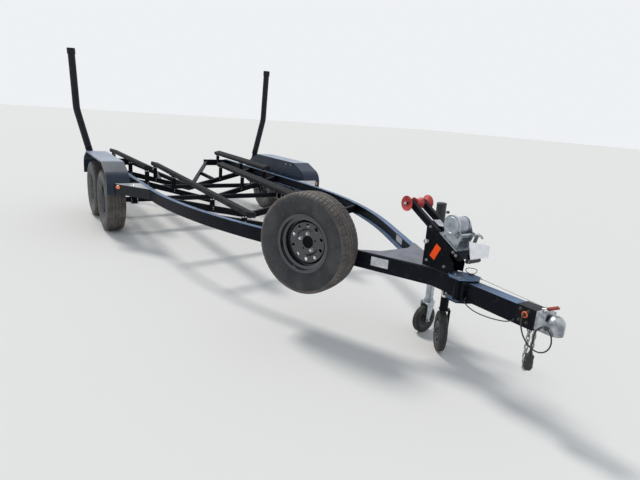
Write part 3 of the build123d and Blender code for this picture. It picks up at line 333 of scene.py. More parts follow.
BY_NODE |= dict.fromkeys(("hinge_pin", "pull_pin", "safety_chains", "winch_crank"), WORN_ZINC)
for part in frame["record"]["subparts"]:
    name = part["node"]
    by_kind = HUB_STEEL if name.startswith("hub_") else BY_SLOT[part["material_slot"]]
    for entry in frame["nodes"][name].material_slots:
        entry.material = BY_NODE.get(name, by_kind)


# Cords: the routes of the CAD source are the control points
def cord_line(name, points, diameter, node_name):
    curve = bpy.data.curves.new(name, "CURVE")
    curve.dimensions = "3D"
    spline = curve.splines.new("NURBS")
    spline.points.add(len(points) - 1)
    for target, p in zip(spline.points, points):
        target.co = (*at(*p), 1)
    spline.order_u = 3
    spline.use_endpoint_u = True
    spline.resolution_u = 10
    curve.bevel_depth = diameter / 2000
    curve.bevel_resolution = 4
    curve.use_fill_caps = True
    curve.materials.append(BLACK_PVC)
    obj = add_object(name, curve)
    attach(obj, "folding_tongue")
    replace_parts(obj, node_name)
    return obj


HARNESS_D, CABLE_D = 7, 6
HARNESS_ROUTE = (
    (-42.7, -4395, 552), (-62, -4396, 549), (-76, -4400, 531), (-80, -4408, 500), (-78, -4426, 458),
    (-74, -4460, 422), (-69, -4504, 408), (-63, -4540, 424), (-58, -4557, 458), (-54, -4553, 496),
    (-52, -4534, 526), (-52, -4502, 534), (-52, -4476, 516), (-54, -4466, 482), (-55, -4465, 440),
    (-55, -4465, 402),
)
CABLE_ROUTE = (
    (-43.2, -4036, 500), (-58, -4040, 496), (-68, -4054, 486), (-66, -4082, 470), (-60, -4130, 458),
    (-56, -4190, 459), (-60, -4246, 468), (-66, -4294, 480), (-68, -4322, 490), (-58, -4336, 497),
    (-43.2, -4340, 500),
)
HARNESS = cord_line("wiring_harness", HARNESS_ROUTE, HARNESS_D, "harness_cord")
CABLE = cord_line("breakaway_cable", CABLE_ROUTE, CABLE_D, "safety_cable")


# Mesh tools. A part is a pair of vertices in millimetres and faces.
def moved(part, matrix):
    verts, faces = part
    return [matrix @ Vector(v) for v in verts], faces


def moved_all(parts, matrix):
    return [moved(part, matrix) for part in parts]


def mirrored(v, side):
    return Vector((side * v.x, v.y, v.z))


def circle(r, sides):
    return [(r * cos(t), r * sin(t)) for t in (tau * i / sides for i in range(sides))]


def skin(rings, closed=False):
    """Faces between rings of equal length, with caps unless the last ring meets the first."""
    n = len(rings[0])
    m = len(rings)
    verts = [Vector(v) for ring in rings for v in ring]
    faces = []
    for i in range(m if closed else m - 1):
        a, b = i * n, (i + 1) % m * n
        faces += [(a + j, a + (j + 1) % n, b + (j + 1) % n, b + j) for j in range(n)]
    if not closed:
        faces += [tuple(range(n))[::-1], tuple((m - 1) * n + j for j in range(n))]
    return verts, faces


def frame_at(origin, axis, side=None):
    """Matrix whose Z runs along axis from origin, and whose X points towards side."""
    z = Vector(axis).normalized()
    x = z.orthogonal() if side is None else Vector(side)
    x = (x - z * x.dot(z)).normalized()
    out = Matrix((x, z.cross(x), z)).transposed().to_4x4()
    out.translation = Vector(origin)
    return out


def lathe(profile, origin, axis, sides=32):
    """Solid of revolution from (distance along the axis, radius) pairs, with capped ends."""
    rings = [[(x, y, along) for x, y in circle(max(r, 0.01), sides)] for along, r in profile]
    return moved(skin(rings), frame_at(origin, axis))


def ring_solid(profile, origin, axis, sides=40):
    """Ring of revolution from a closed outline of (along, radius) pairs."""
    rings = [[(r * c, r * s, along) for along, r in profile] for c, s in circle(1, sides)]
    return moved(skin(rings, closed=True), frame_at(origin, axis))


def symmetric(outline):
    """The left half of an outline, and its mirror image."""
    return outline + [(-along, r) for along, r in reversed(outline)]


def round_rect(w, h, r, n=3):
    out = []
    for cx, cy, start in ((1, 1, 0), (-1, 1, 90), (-1, -1, 180), (1, -1, 270)):
        for i in range(n + 1):
            t = radians(start + 90 * i / n)
            out.append((cx * (w / 2 - r) + r * cos(t), cy * (h / 2 - r) + r * sin(t)))
    return out


def slab(matrix, w, d, h, r=4, edge=1.5):
    """Plate with rounded corners and softened edges, standing on the matrix's XY plane."""
    rings = []
    for z, inset in ((0, edge), (edge, 0), (h - edge, 0), (h, edge)):
        outline = round_rect(w - 2 * inset, d - 2 * inset, max(r - inset, 0.3))
        rings.append([(x, y, z) for x, y in outline])
    return moved(skin(rings), matrix)


def tube(points, section, closed=False, sides=10):
    """Section, a radius or a list of points across, carried along a line without twist."""
    pts = [Vector(p) for p in points]
    if not isinstance(section, (list, tuple)):
        section = circle(section, sides)
    n = len(pts)
    rings, x = [], None
    for i, p in enumerate(pts):
        ahead = pts[(i + 1) % n] if closed or i < n - 1 else pts[i]
        behind = pts[i - 1] if closed or i > 0 else pts[i]
        d = (ahead - behind).normalized()
        x = d.orthogonal() if x is None else x
        x = (x - d * x.dot(d)).normalized()
        y = d.cross(x)
        rings.append([p + x * a + y * b for a, b in section])
    return skin(rings, closed=closed)


def arc(centre, u, v, r, start, end, steps=10):
    """Points on a circle arc in the plane of u and v, angles in degrees."""
    c, u, v = Vector(centre), Vector(u), Vector(v)
    return [c + u * (r * cos(t)) + v * (r * sin(t)) for t in
            (radians(start + (end - start) * i / steps) for i in range(steps + 1))]


def hex_nut(origin, axis, apothem, height):
    r = apothem / cos(pi / 6)
    rings = [[(x, y, z) for x, y in circle(radius, 6)]
             for z, radius in ((0, r), (height * 0.75, r), (height, r * 0.86))]
    return moved(skin(rings), frame_at(origin, axis))


def bolt(origin, axis, size, stub=4):
    """Washer, nut and the end of the thread, on a surface. The washer is about size in radius."""
    axis = Vector(axis).normalized()
    rim = size * 1.05
    washer = lathe(((0, rim), (size * 0.12, rim), (size * 0.16, size)), origin, axis, 20)
    start = Vector(origin) + axis * (size * 0.16)
    nut = hex_nut(start, axis, size * 0.8, size * 0.75)
    end = start + axis * (size * 0.7)
    r = size * 0.46
    thread = lathe(((0, r), (stub, r), (stub + size * 0.08, size * 0.36)), end, axis, 14)
    return [washer, nut, thread]


def dome_head(origin, axis, size):
    """Round head of a carriage bolt."""
    profile = [(0, size)] + [(size * 0.5 * sin(t), size * cos(t)) for t in
                             (pi / 2 * i / 6 for i in range(7))]
    return [lathe(profile, origin, axis, 20)]


WELD = 2e-5     # metres within which vertices become one


def make(name, parts, body, finish, sharp=32):
    """One object from parts, on a body. Edges sharper than sharp degrees stay sharp."""
    verts, faces = [], []
    for part_verts, part_faces in parts:
        base = len(verts)
        verts += [at(*v) for v in part_verts]
        faces += [tuple(base + i for i in face) for face in part_faces]
    mesh = bpy.data.meshes.new(name)
    mesh.from_pydata(verts, [], faces)
    work = bmesh.new()
    work.from_mesh(mesh)
    bmesh.ops.remove_doubles(work, verts=work.verts, dist=WELD)
    bmesh.ops.recalc_face_normals(work, faces=work.faces)
    work.to_mesh(mesh)
    work.free()
    mesh.materials.append(finish)
    mesh.polygons.foreach_set("use_smooth", [True] * len(mesh.polygons))
    mesh.set_sharp_from_angle(angle=radians(sharp))
    obj = add_object(name, mesh)
    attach(obj, body)
    return obj


def hardware(name, parts, finish=WORN_ZINC, body="trailer"):
    return make(name, parts, body, finish)


def black_part(name, parts, body="trailer"):
    return make(name, parts, body, BLACK_PLASTIC)


def rail_x(y):
    """Distance from the centreline to the rail's outer face."""
    if y >= BEND_Y:
        return RAIL_X
    if y >= LEG_Y:
        return RAIL_X - BEND_R + sqrt(BEND_R ** 2 - (y - BEND_Y) ** 2)
    return LEG_X - (LEG_Y - y) * tan(BEND)


def bunk_point(row, y):
    """Middle of a right-hand bunk at y."""
    _, rear, x_rear, z_rear, front, x_front, z_front, _ = BUNKS[row]
    t = (rear - y) / (rear - front)
    return Vector((x_rear + (x_front - x_rear) * t, y, z_rear + (z_front - z_rear) * t - BUNK_T / 2))


def arm_point(s, up, x=0):
    """Point s down the bow arms from the roller, and up square to them."""
    y = ROLLER_Y - s * cos(ARM) - up * sin(ARM)
    return Vector((x, y, ROLLER_Z - s * sin(ARM) + up * cos(ARM)))


ARM_UP = Vector((0, -sin(ARM), cos(ARM)))

# Plug on the harness: ribbed neck, fluted shell, pins
PLUG_TOP = HARNESS_ROUTE[-1]
RIBS, RIB_STEP = 5, 4.6
FLUTES, FLUTE_R, FLUTE_DOWN, FLUTE_HALF = 12, 20.4, 72, 14
PIN_COUNT, PIN_CIRCLE = 6, 8
profile = [(0, 4.6)]
for i in range(RIBS):
    start, r = RIB_STEP * i, 1.5 * i
    profile += [(2 + start, 5.4 + r), (4.4 + start, 5.6 + r), (4.8 + start, 4.8 + r)]
profile += [(26, 13), (28, 19.5), (31, 20.8), (44, 20.8), (45, 19.4), (52, 19.4), (53, 20.8),
            (90, 20.8), (95, 20), (96, 17.4), (102, 17), (102, 14), (90, 13.6)]
parts = [lathe(profile, PLUG_TOP, DOWN, 36)]
for x, y in circle(FLUTE_R, FLUTES):
    spot = Vector(PLUG_TOP) + Vector((x, y, -FLUTE_DOWN))
    rise = Vector((0, 0, FLUTE_HALF))
    parts.append(tube((spot + rise, spot - rise), 1.1, sides=6))
PLUG = black_part("trailer_plug", parts, "folding_tongue")
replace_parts(PLUG, "harness_plug")
parts = []
for x, y in circle(PIN_CIRCLE, PIN_COUNT):
    spot = Vector(PLUG_TOP) + Vector((x, y, -91))
    parts.append(lathe(((0, 1.8), (8, 1.8), (9, 1.2)), spot, DOWN, 10))
spot = Vector(PLUG_TOP) + Vector((0, 0, -90))
parts.append(lathe(((0, 2.4), (9, 2.4), (10, 1.6)), spot, DOWN, 10))
PINS = hardware("plug_pins", parts, BRIGHT, "folding_tongue")

# Boots where the cords leave the tongue
parts = []
for origin, r in ((HARNESS_ROUTE[0], 8.6), (CABLE_ROUTE[0], 6.6), (CABLE_ROUTE[-1], 6.6)):
    profile = ((0, r), (2.5, r), (3.5, r * 0.8), (6, r * 0.72), (6.6, r * 0.62), (10, r * 0.58))
    parts.append(lathe(profile, origin, LEFT, 24))
black_part("cord_boots", parts, "folding_tongue")


# Wheels
def arc3(a, b, c, steps):
    """Points from a through b to c on one circle, in two dimensions."""
    (ax, ay), (bx, by), (cx, cy) = a, b, c
    d = 2 * (ax * (by - cy) + bx * (cy - ay) + cx * (ay - by))
    aa, bb, cc = ax ** 2 + ay ** 2, bx ** 2 + by ** 2, cx ** 2 + cy ** 2
    ux = (aa * (by - cy) + bb * (cy - ay) + cc * (ay - by)) / d
    uy = (aa * (cx - bx) + bb * (ax - cx) + cc * (bx - ax)) / d
    r = hypot(ax - ux, ay - uy)
    t0, t1, t2 = (atan2(y - uy, x - ux) for x, y in (a, b, c))
    turn = (t2 - t0 + pi) % tau - pi
    return [(ux + r * cos(t0 + turn * i / steps), uy + r * sin(t0 + turn * i / steps))
            for i in range(steps + 1)]


PITCHES = 66
ROWS = ((0, 0), (0.035, 1), (0.15, 1), (0.185, 0), (0.6, 0))     # place in the pitch, 1 in a groove
GROOVES = (-47, -16, 16, 47)
GROOVE_W, GROOVE_DEEP, SIDE_DEEP = 7, 5.5, 5
SWAY = {47: 1.4, 16: 2.6}                 # sideways wave of the grooves, by distance from the middle
RIB_CUT = (0.8, 0.45, 0.0, 0.45, 0.8)     # share of the cross groove's depth on each rib
SHOULDER, RIB_EDGE, CROWN_DROP, LEAN = 78, 62, 5, 0.55
RIDGES = ((286, 291, 0.9), (268, 271, 0.9), (216, 221, 0.7))     # radii between, depth


def crown(x):
    return HUB_Z - CROWN_DROP * (x / SHOULDER) ** 2


def tread_points(phase):
    """Points over the tread: x, depth below the crown, share of the cross groove's depth."""
    out = [(-SHOULDER, 0, RIB_CUT[0]), (-RIB_EDGE, 0, RIB_CUT[0])]
    half = GROOVE_W / 2
    for i, centre in enumerate(GROOVES):
        c = centre + SWAY[abs(centre)] * sin(tau * phase + i * 2.1)
        out += [(c - half, 0, RIB_CUT[i]), (c - half + 1, GROOVE_DEEP, 0),
                (c + half - 1, GROOVE_DEEP, 0), (c + half, 0, RIB_CUT[i + 1])]
        if i < len(GROOVES) - 1:
            out.append(((centre + GROOVES[i + 1]) / 2, 0, RIB_CUT[i + 1]))
    return out + [(RIB_EDGE, 0, RIB_CUT[-1]), (SHOULDER, 0, RIB_CUT[-1])]


def sidewall_points(s):
    """Points from the shoulder to the bead on side s, with moulded rings sunk a little."""
    points = [(x, r, 0.6) for x, r in arc3((78, 327), (88.5, 320), (92, 306), 3)[1:]]
    points[-1] = (*points[-1][:2], 0.25)
    for x, r in arc3((92, 306), (101.5, 250), (76, 203), 22)[1:]:
        ridge = next((deep for low, high, deep in RIDGES if low < r < high), 0)
        points.append((x - ridge, r, 0))
    points += [(72, 199, 0), (66, 195, 0), (66, 178, 0), (54, 178, 0)]
    return [(s * x, r, g) for x, r, g in points]


def make_tyre(name, matrix, body, nodes):
    verts, faces, tread_faces = [], [], []
    left = sidewall_points(-1)[::-1]
    right = sidewall_points(1)
    inner = [(62, 203), (84, 250), (76, 302), (60, 314), (-60, 314), (-76, 302), (-84, 250), (-62, 203)]
    pitch = tau / PITCHES
    rows = PITCHES * len(ROWS)
    for i in range(PITCHES):
        for place, groove in ROWS:
            tread = tread_points((i + place) * 0.5)
            ring = [(x, r - groove * g * SIDE_DEEP, abs(x)) for x, r, g in left]
            ring += [(x, crown(x) - deep - groove * g * GROOVE_DEEP, abs(x)) for x, deep, g in tread]
            ring += [(x, r - groove * g * SIDE_DEEP, abs(x)) for x, r, g in right]
            ring += [(x, r, 0) for x, r in inner]
            for x, r, out in ring:
                t = pitch * (i + place + LEAN * min(out, SHOULDER) / SHOULDER)
                verts.append(matrix @ Vector((x, r * sin(t), r * cos(t))))
    n = len(ring)
    first, last = len(left) - 3, len(left) + len(tread) + 2
    for i in range(rows):
        a, b = i * n, (i + 1) % rows * n
        for j in range(n):
            k = (j + 1) % n
            if first <= j < last:
                tread_faces.append(len(faces))
            faces.append((a + j, a + k, b + k, b + j))
    wall = SIDEWALL if body == "trailer" else ROAD_SIDEWALL
    obj = make(name, [(verts, faces)], body, wall, sharp=38)
    obj.data.materials.append(TREAD)
    for index in tread_faces:
        obj.data.polygons[index].material_index = 1
    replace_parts(obj, nodes)


def wheel_matrix(side, y):
    turn = 0 if side > 0 else pi
    return Matrix.Translation((side * TYRE_X, y, HUB_Z)) @ Matrix.Rotation(turn, 4, "Z")


SPARE_BASE = Vector((-LEG_X + SPARE_ALONG * sin(BEND), LEG_Y - SPARE_ALONG * cos(BEND),
                     SPARE_Z))
SPARE_LEG = Matrix.Translation(SPARE_BASE) @ Matrix.Rotation(pi + BEND, 4, "Z")
SPARE = SPARE_LEG @ Matrix.Translation((SPARE_OUT, 0, 0))


def lug_nuts(matrix, name, body, which, low, high, stud, finish):
    """Nuts from low to high along the wheel's axis, on studs that end at stud."""
    parts = []
    for i in which:
        t = radians(90 + 360 / LUGS * i)
        origin = Vector((low, LUG_R * cos(t), LUG_R * sin(t)))
        nut = hex_nut(origin, RIGHT, 10.5, high - low)
        seat = lathe(((-3, 9.6), (0, 12.6), (1, 12.6)), origin, RIGHT, 18)
        end = origin + Vector((high - low, 0, 0))
        tip = lathe(((0, 6.2), (stud - high, 6.2), (stud - high + 1, 5)), end, RIGHT, 14)
        parts += moved_all((nut, seat, tip), matrix)
    hardware(name, parts, finish, body)


def valve(matrix, name, body):
    place, axis = Vector((30, 88, 116)), (1, -0.1, -0.13)
    profile = ((-6, 6), (6, 5), (8, 4), (26, 3.6), (26.5, 4.6), (36, 4.6), (37, 3.6))
    black_part(name, [moved(lathe(profile, place, axis, 16), matrix)], body)


def cap_ring(matrix, name, body):
    """Pressed rim and dust plug on the grease cap."""
    outline = ((20, 36.4), (20, 40.5), (23, 40.5), (24.5, 37.2), (24.5, 31.4), (22, 31.4))
    ring = ring_solid(outline, ORIGIN, RIGHT, 48)
    plug = lathe(((49, 13.5), (51.5, 13), (52.2, 10), (52.2, 3)), ORIGIN, RIGHT, 24)
    hardware(name, moved_all((ring, plug), matrix), HUB_STEEL, body)


for side, s in (("left", -1), ("right", 1)):
    for end, y in (("front", 0), ("rear", AXLE_SPACING)):
        key = f"{side}_{end}"
        place = wheel_matrix(s, y)
        make_tyre(f"road_tyre_{key}", place, f"wheel_{key}", f"tyre_{key}")
        lug_nuts(place, f"lug_nuts_{key}", f"wheel_{key}", range(LUGS), 1, 18, 21, WORN_ZINC)
        valve(place, f"valve_{key}", f"wheel_{key}")
        cap_ring(place, f"cap_ring_{key}", f"wheel_{key}")
make_tyre("road_tyre_spare", SPARE, "trailer", "spare_tyre")
lug_nuts(SPARE, "lug_nuts_spare", "trailer", (0, 1, 3), 1, 16, 23, BRIGHT)
valve(SPARE, "valve_spare", "trailer")

# Spare carrier: four bolts on its plate
parts = []
for y in (-62, 62):
    for z in (-96, -22):
        parts += moved_all(bolt((8, y, z), RIGHT, 8), SPARE_LEG)
hardware("spare_bolts", parts)


# Bunks: a board in a wrapping of carpet
def bunk_frames(row, side, count):
    """Places along a bunk, from rear to front, with the directions across, up and ahead."""
    rear, front = BUNKS[row][1], BUNKS[row][4]
    a, b = bunk_point(row, rear), bunk_point(row, front)
    ahead = (b - a).normalized()
    across = Vector(UP).cross(ahead).normalized()
    up = ahead.cross(across)
    tilt = radians(BUNKS[row][-1])
    across, up = (across * cos(tilt) + up * sin(tilt),
                  up * cos(tilt) - across * sin(tilt))
    out = []
    for i in range(count + 1):
        p = a + (b - a) * (i / count)
        out.append(tuple(mirrored(v, side) for v in (p, across, up, ahead)))
    return out


CARPET_T, CARPET_PUFF, BUNK_STEPS, BOARD_IN = 3, 0.8, 90, 10


def make_bunk(row, side, label):
    frames = bunk_frames(row, side, BUNK_STEPS)
    seed = row * 7 + (0 if side < 0 else 3)
    n = len(frames)
    rings = []

    def section(i, inset, tuck, push):
        """Rounded outline of the wrapping, inset from the CAD bunk, drawn in by tuck at the ends."""
        p, across, up, ahead = frames[i]
        ring = []
        for j, (x, z) in enumerate(round_rect(BUNK_W - 2 * inset, BUNK_T - 2 * inset, 7, 4)):
            puff = noise.noise(Vector((i * 0.35, j * 0.8, seed))) * CARPET_PUFF - CARPET_PUFF
            share = 1 - tuck
            sideways = x * share + copysign(puff, x)
            ring.append(p + across * sideways + up * (z * share) + ahead * push)
        return ring

    for layer in (0, 1):
        inset = 1.2 + layer * CARPET_T
        base = CARPET_T * layer
        ends = [(tuck, push + base) for tuck, push in
                ((0.86, 2.5), (0.6, 2), (0.1, 2), (0.02, 6), (0, 11))]
        layer_rings = [section(0, inset, tuck, push) for tuck, push in ends]
        layer_rings += [section(i, inset, 0, 0) for i in range(1, n - 1)]
        layer_rings += [section(n - 1, inset, tuck, -push) for tuck, push in ends[::-1]]
        rings += layer_rings if layer == 0 else layer_rings[::-1]
    cover = skin(rings, closed=True)
    carpet = make(f"bunk_carpet_{label}", [cover], "trailer", CARPET, sharp=60)
    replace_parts(carpet, BUNKS[row][0])
    board = []
    for i, push in ((0, BOARD_IN), (n - 1, -BOARD_IN)):
        p, across, up, ahead = frames[i]
        board.append([p + across * x + up * z + ahead * push for x, z in round_rect(86, 36, 3, 2)])
    timber = make(f"bunk_board_{label}", [skin(board)], "trailer", TIMBER)


for row, kind in enumerate(("outer", "inner")):
    for side, word in ((-1, "left"), (1, "right")):
        make_bunk(row, side, f"{kind}_{word}")

# Bolts of the bunk posts: two through each cross member, bright heads near the bunk
POST_FACE, HEAD_DOWN, HEAD_X = 6, 24, 12
parts, heads = [], []
for row, y in POSTS:
    centre = bunk_point(row, y)
    if y in V_TABLE:
        top = V_TABLE[y] + (V_END - V_TABLE[y]) / rail_x(y) * centre.x
    else:
        top = RAIL_TOP - RAIL_STEEL
    for side in SIDES:
        x = side * centre.x
        for dz in (-15, -36):
            parts += bolt((x - side * 10, y - POST_FACE, top + dz), AHEAD, 7)
        for dx in (HEAD_X, -HEAD_X):
            place = (x + dx * side, y - POST_FACE, centre.z - BUNK_T / 2 - HEAD_DOWN)
            heads += dome_head(place, AHEAD, 9)
hardware("bunk_post_bolts", parts)
hardware("bunk_bolt_heads", heads, BRIGHT)

# Fender and guide post bolts
BRACKET_OUT, WEB_BOLT_Z, LIP_BOLT_X, LIP_BOLT_Z = 355, 532, 985, 566
parts = []
for side in SIDES:
    outward = (side, 0, 0)
    for y in (-BRACKET_OUT, AXLE_SPACING / 2, AXLE_SPACING + BRACKET_OUT):
        for dy in (-14, 14):
            parts += bolt((side * (RAIL_X + 6), y + dy, WEB_BOLT_Z), outward, 7)
            parts += bolt((side * LIP_BOLT_X, y + dy, LIP_BOLT_Z), UP, 7)
    for dy in (-34, 34):
        for z in (498, 572):
            parts += bolt((side * (RAIL_X + 8), GUIDE_Y + dy, z), outward, 7)
hardware("fender_and_guide_bolts", parts)

# Bright bolt on the left step
hardware("step_bolt", dome_head((-1035, -590, RAIL_TOP), UP, 10), BRIGHT)

# Springs: U-bolts, clamp plates, eye bolts
SPRING_X, SPRING_HALF, EYE_Z, EYE_OUT, EYE_IN = 917, 320, 432, 945, 889
U_X, U_Y, U_TOP, U_LOW, U_R, U_BEND = 33, 30, 412, 298, 5.5, 8
PLATE_W, PLATE_L, PLATE_LOW, PLATE_TOP = 92, 96, 392, 400
parts, plates = [], []
for side in SIDES:
    for axle_y in (0, AXLE_SPACING):
        x0 = side * SPRING_X
        for y in (axle_y - U_Y, axle_y + U_Y):
            line = [(x0 - U_X, y, U_TOP), (x0 - U_X, y, U_LOW + 2)]
            line += arc((x0 - U_X + U_BEND, y, U_LOW), LEFT, DOWN, U_BEND, 0, 90, 5)
            line += arc((x0 + U_X - U_BEND, y, U_LOW), DOWN, RIGHT, U_BEND, 0, 90, 5)
            line.append((x0 + U_X, y, U_TOP))
            parts.append(tube(line, U_R))
            for dx in (-U_X, U_X):
                parts += bolt((x0 + dx, y, PLATE_TOP), UP, 9, 5)
        corner = Matrix.Translation((x0, axle_y, PLATE_LOW))
        plates.append(slab(corner, PLATE_W, PLATE_L, PLATE_TOP - PLATE_LOW, 3, 1))
        for y in (axle_y - SPRING_HALF, axle_y + SPRING_HALF):
            parts += bolt((side * EYE_OUT, y, EYE_Z), (side, 0, 0), 9)
            parts += bolt((side * EYE_IN, y, EYE_Z), (-side, 0, 0), 9)
hardware("axle_u_bolts", parts)
make("spring_clamp_plates", plates, "trailer", DARK_PAINT)

# Marker lamps on the steps' slanting front edges: black base and a domed lens
STEP_CORNER, STEP_TIP = Vector((1190, -482, 0)), Vector((RAIL_X + 0.5, -850, 0))
LAMP_ALONG, LAMP_DOWN, LAMP_SQUEEZE, LENS_R, LENS_H = 40, 28, 0.7, 28, 12.5
edge = (STEP_TIP - STEP_CORNER).normalized()
lamp = STEP_CORNER + edge * LAMP_ALONG
base = lathe(((0, 30), (5, 30), (6, 28.5)), ORIGIN, UP, 40)
profile = [(5, LENS_R)] + [(5 + LENS_H * sin(t), LENS_R * cos(t) ** 0.55) for t in
                           (pi / 2 * i / 9 for i in range(9))] + [(17.6, 0)]
lens = lathe(profile, ORIGIN, UP, 40)
bases, lenses = [], []
for side in SIDES:
    spot = (side * lamp.x, lamp.y, RAIL_TOP - LAMP_DOWN)
    place = frame_at(spot, (-side * edge.y, edge.x, 0), (side * edge.x, edge.y, 0))
    place = place @ Matrix.Diagonal((1, LAMP_SQUEEZE, 1, 1))
    bases.append(moved(base, place))
    lenses.append(moved(lens, place))
black_part("marker_bases", bases)
LENSES = make("marker_lenses", lenses, "trailer", LAMP_AMBER, sharp=50)
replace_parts(LENSES, "marker_lamps")

# Tail lamps: black housing, red lens with soft edges
TAIL_X, TAIL_Y, TAIL_Z, LENS_OUT = 882.5, 1900, 535, 25
housings, reds = [], []
for side in SIDES:
    place = frame_at((side * TAIL_X, TAIL_Y, TAIL_Z), ASTERN, RIGHT)
    housings.append(slab(place, 85, 70, 26, 8, 2))
    reds.append(slab(place @ Matrix.Translation((0, 0, LENS_OUT)), 79, 64, 19, 9, 5))
black_part("tail_lamp_housings", housings)
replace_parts(make("tail_lamp_lenses", reds, "trailer", LAMP_RED), "tail_lamps")

# Guide posts: clamps round the feet of the sleeves
CLAMP_SHARES = (0.28, 0.33)     # of the way from the foot to the knee
run_x, run_z = GUIDE_KNEE[0] - GUIDE_FOOT[0], GUIDE_KNEE[1] - GUIDE_FOOT[1]
along = Vector((run_x, 0, run_z)).normalized()
parts = []
for side in SIDES:
    for t in CLAMP_SHARES:
        spot = Vector((GUIDE_FOOT[0] + run_x * t, GUIDE_Y, GUIDE_FOOT[1] + run_z * t))
        ring = ring_solid(((-7, 40.6), (-7, 42.4), (7, 42.4), (7, 40.6)), spot, along, 40)
        screw = tube([spot + Vector((0, -43, 0)) + along * h for h in (-11, 11)], 4)
        for verts, faces in (ring, screw):
            parts.append(([mirrored(v, side) for v in verts], faces))
hardware("sleeve_clamps", parts, DARK_PAINT)

# Bow rollers: washers and nuts on the ends of the bolt
parts = []
for side in SIDES:
    parts += bolt((side * 97, ROLLER_Y, ROLLER_Z), (side, 0, 0), 10, 5)
hardware("roller_bolt_ends", parts, BRIGHT)

# Stand: bolts on the arms, bright knob, bolts at the foot
parts = []
for s in (215, 430, 455):
    for side in SIDES:
        parts += bolt(arm_point(s, 0, side * 57.5), (side, 0, 0), 8)
hardware("arm_bolts", parts)
profile = ((0, 9), (4, 9), (6, 6), (12, 6), (14, 13), (20, 15), (25, 13), (27, 6))
hardware("stand_knob", [lathe(profile, (-48, -3714, 740), (-1, 0, 0.1), 24)], BRIGHT)
parts = []
for y in (-3712, -3850):
    for side in SIDES:
        parts += bolt((side * 30, y, 600), UP, 9)
        parts += bolt((side * 48, y - 10, 628), (side, 0, 0), 8)
hardware("stand_bolts", parts)

# Winch: pressed rings on the gear cover, spacers, bolts and the pawl
DRUM_C, CRANK_C = arm_point(DRUM_S, DRUM_UP), arm_point(CRANK_S, CRANK_UP)
COVER_X, FRAME_HALF = -66, 50
SPACERS = ((310, 128), (398, 96), (322, 30))     # s, up
COVER_RINGS = (  # outline of (along, radius), sides
    (((0, 40), (0, 47), (-2.4, 45.5), (-2.4, 41.5)), 48),
    (((0, 16), (0, 21), (-2.4, 20), (-2.4, 17)), 32),
    (((0, 53), (0, 57), (16, 57), (16, 55.2)), 56),
)
cover = (COVER_X, DRUM_C.y, DRUM_C.z)
parts = [ring_solid(outline, cover, RIGHT, sides) for outline, sides in COVER_RINGS]
for s, up in SPACERS:
    parts.append(tube((arm_point(s, up, -46), arm_point(s, up, 46)), 7, sides=16))
make("winch_ribs_and_spacers", parts, "trailer", GALVANISED)
parts = []
for s, up in (*SPACERS, (415, 34)):
    parts += bolt(arm_point(s, up, -FRAME_HALF), LEFT, 7)
    parts += bolt(arm_point(s, up, FRAME_HALF), RIGHT, 7)
for s in (300, 372, 437):
    for x in (-45, 45):
        parts += bolt(arm_point(s, 23, x), ARM_UP, 8)
hardware("winch_bolts", parts)
line = [arm_point(*p) for p in ((404, 104, 56), (424, 118, 58), (446, 122, 62), (462, 116, 66))]
pawl = tube(line, [(-6, -2), (6, -2), (6, 2), (-6, 2)])
pivot = lathe(((0, 8), (6, 8), (7, 6)), arm_point(404, 104, FRAME_HALF), RIGHT, 18)
make("winch_pawl", [pawl, pivot], "trailer", WORN_ZINC)
hardware("crank_nut", bolt(CRANK_C + Vector((122, 0, 0)), RIGHT, 9, 4), BRIGHT, "crank")

# Winch strap's roll on the drum, its turns a little out of line
ROLL_LEFT, ROLL_RIGHT, ROLL_IN, ROLL_DEEP, ROLL_TURNS = -32, 29, 34.2, 9.6, 9
left, right = [], []
for i in range(ROLL_TURNS):
    r = ROLL_IN + ROLL_DEEP * (i + 1) / ROLL_TURNS
    x = ROLL_LEFT + 1.2 * ((i * 7) % 3 - 1)
    left += [(x, r - 0.5), (x, r)]
    x = ROLL_RIGHT + 1.0 * ((i * 5) % 3 - 1)
    right += [(x, r - 0.5), (x, r)]
outline = [(ROLL_LEFT, ROLL_IN), *left, *right[::-1], (ROLL_RIGHT, ROLL_IN)]
make("winch_strap_roll", [ring_solid(outline, DRUM_C, RIGHT, 64)], "drum", WEBBING, sharp=50)


# Blank stickers on the webs
def leg_place(side, along, z, inset):
    """Point on a leg's web, along it from the bend's end, and the web's directions."""
    x = side * (LEG_X - along * sin(BEND)) - side * inset / cos(BEND)
    y = LEG_Y - along * cos(BEND)
    out = Vector((side * cos(BEND), -sin(BEND), 0))
    return Vector((x, y, z)), out, Vector((-side * sin(BEND), -cos(BEND), 0))


STICKERS = (  # side, along, z, inset, face of the web (1 outer, -1 inner), width, height
    (-1, 792, 545, 0, 1, 118, 58),
    (1, 275, 533, RAIL_STEEL, -1, 150, 62),
)
parts = []
for side, along, z, inset, face, w, h in STICKERS:
    spot, out, ahead = leg_place(side, along, z, inset)
    parts.append(slab(frame_at(spot, out * face, ahead), w, h, 0.8, 3, 0.2))
make("blank_stickers", parts, "trailer", STICKER)

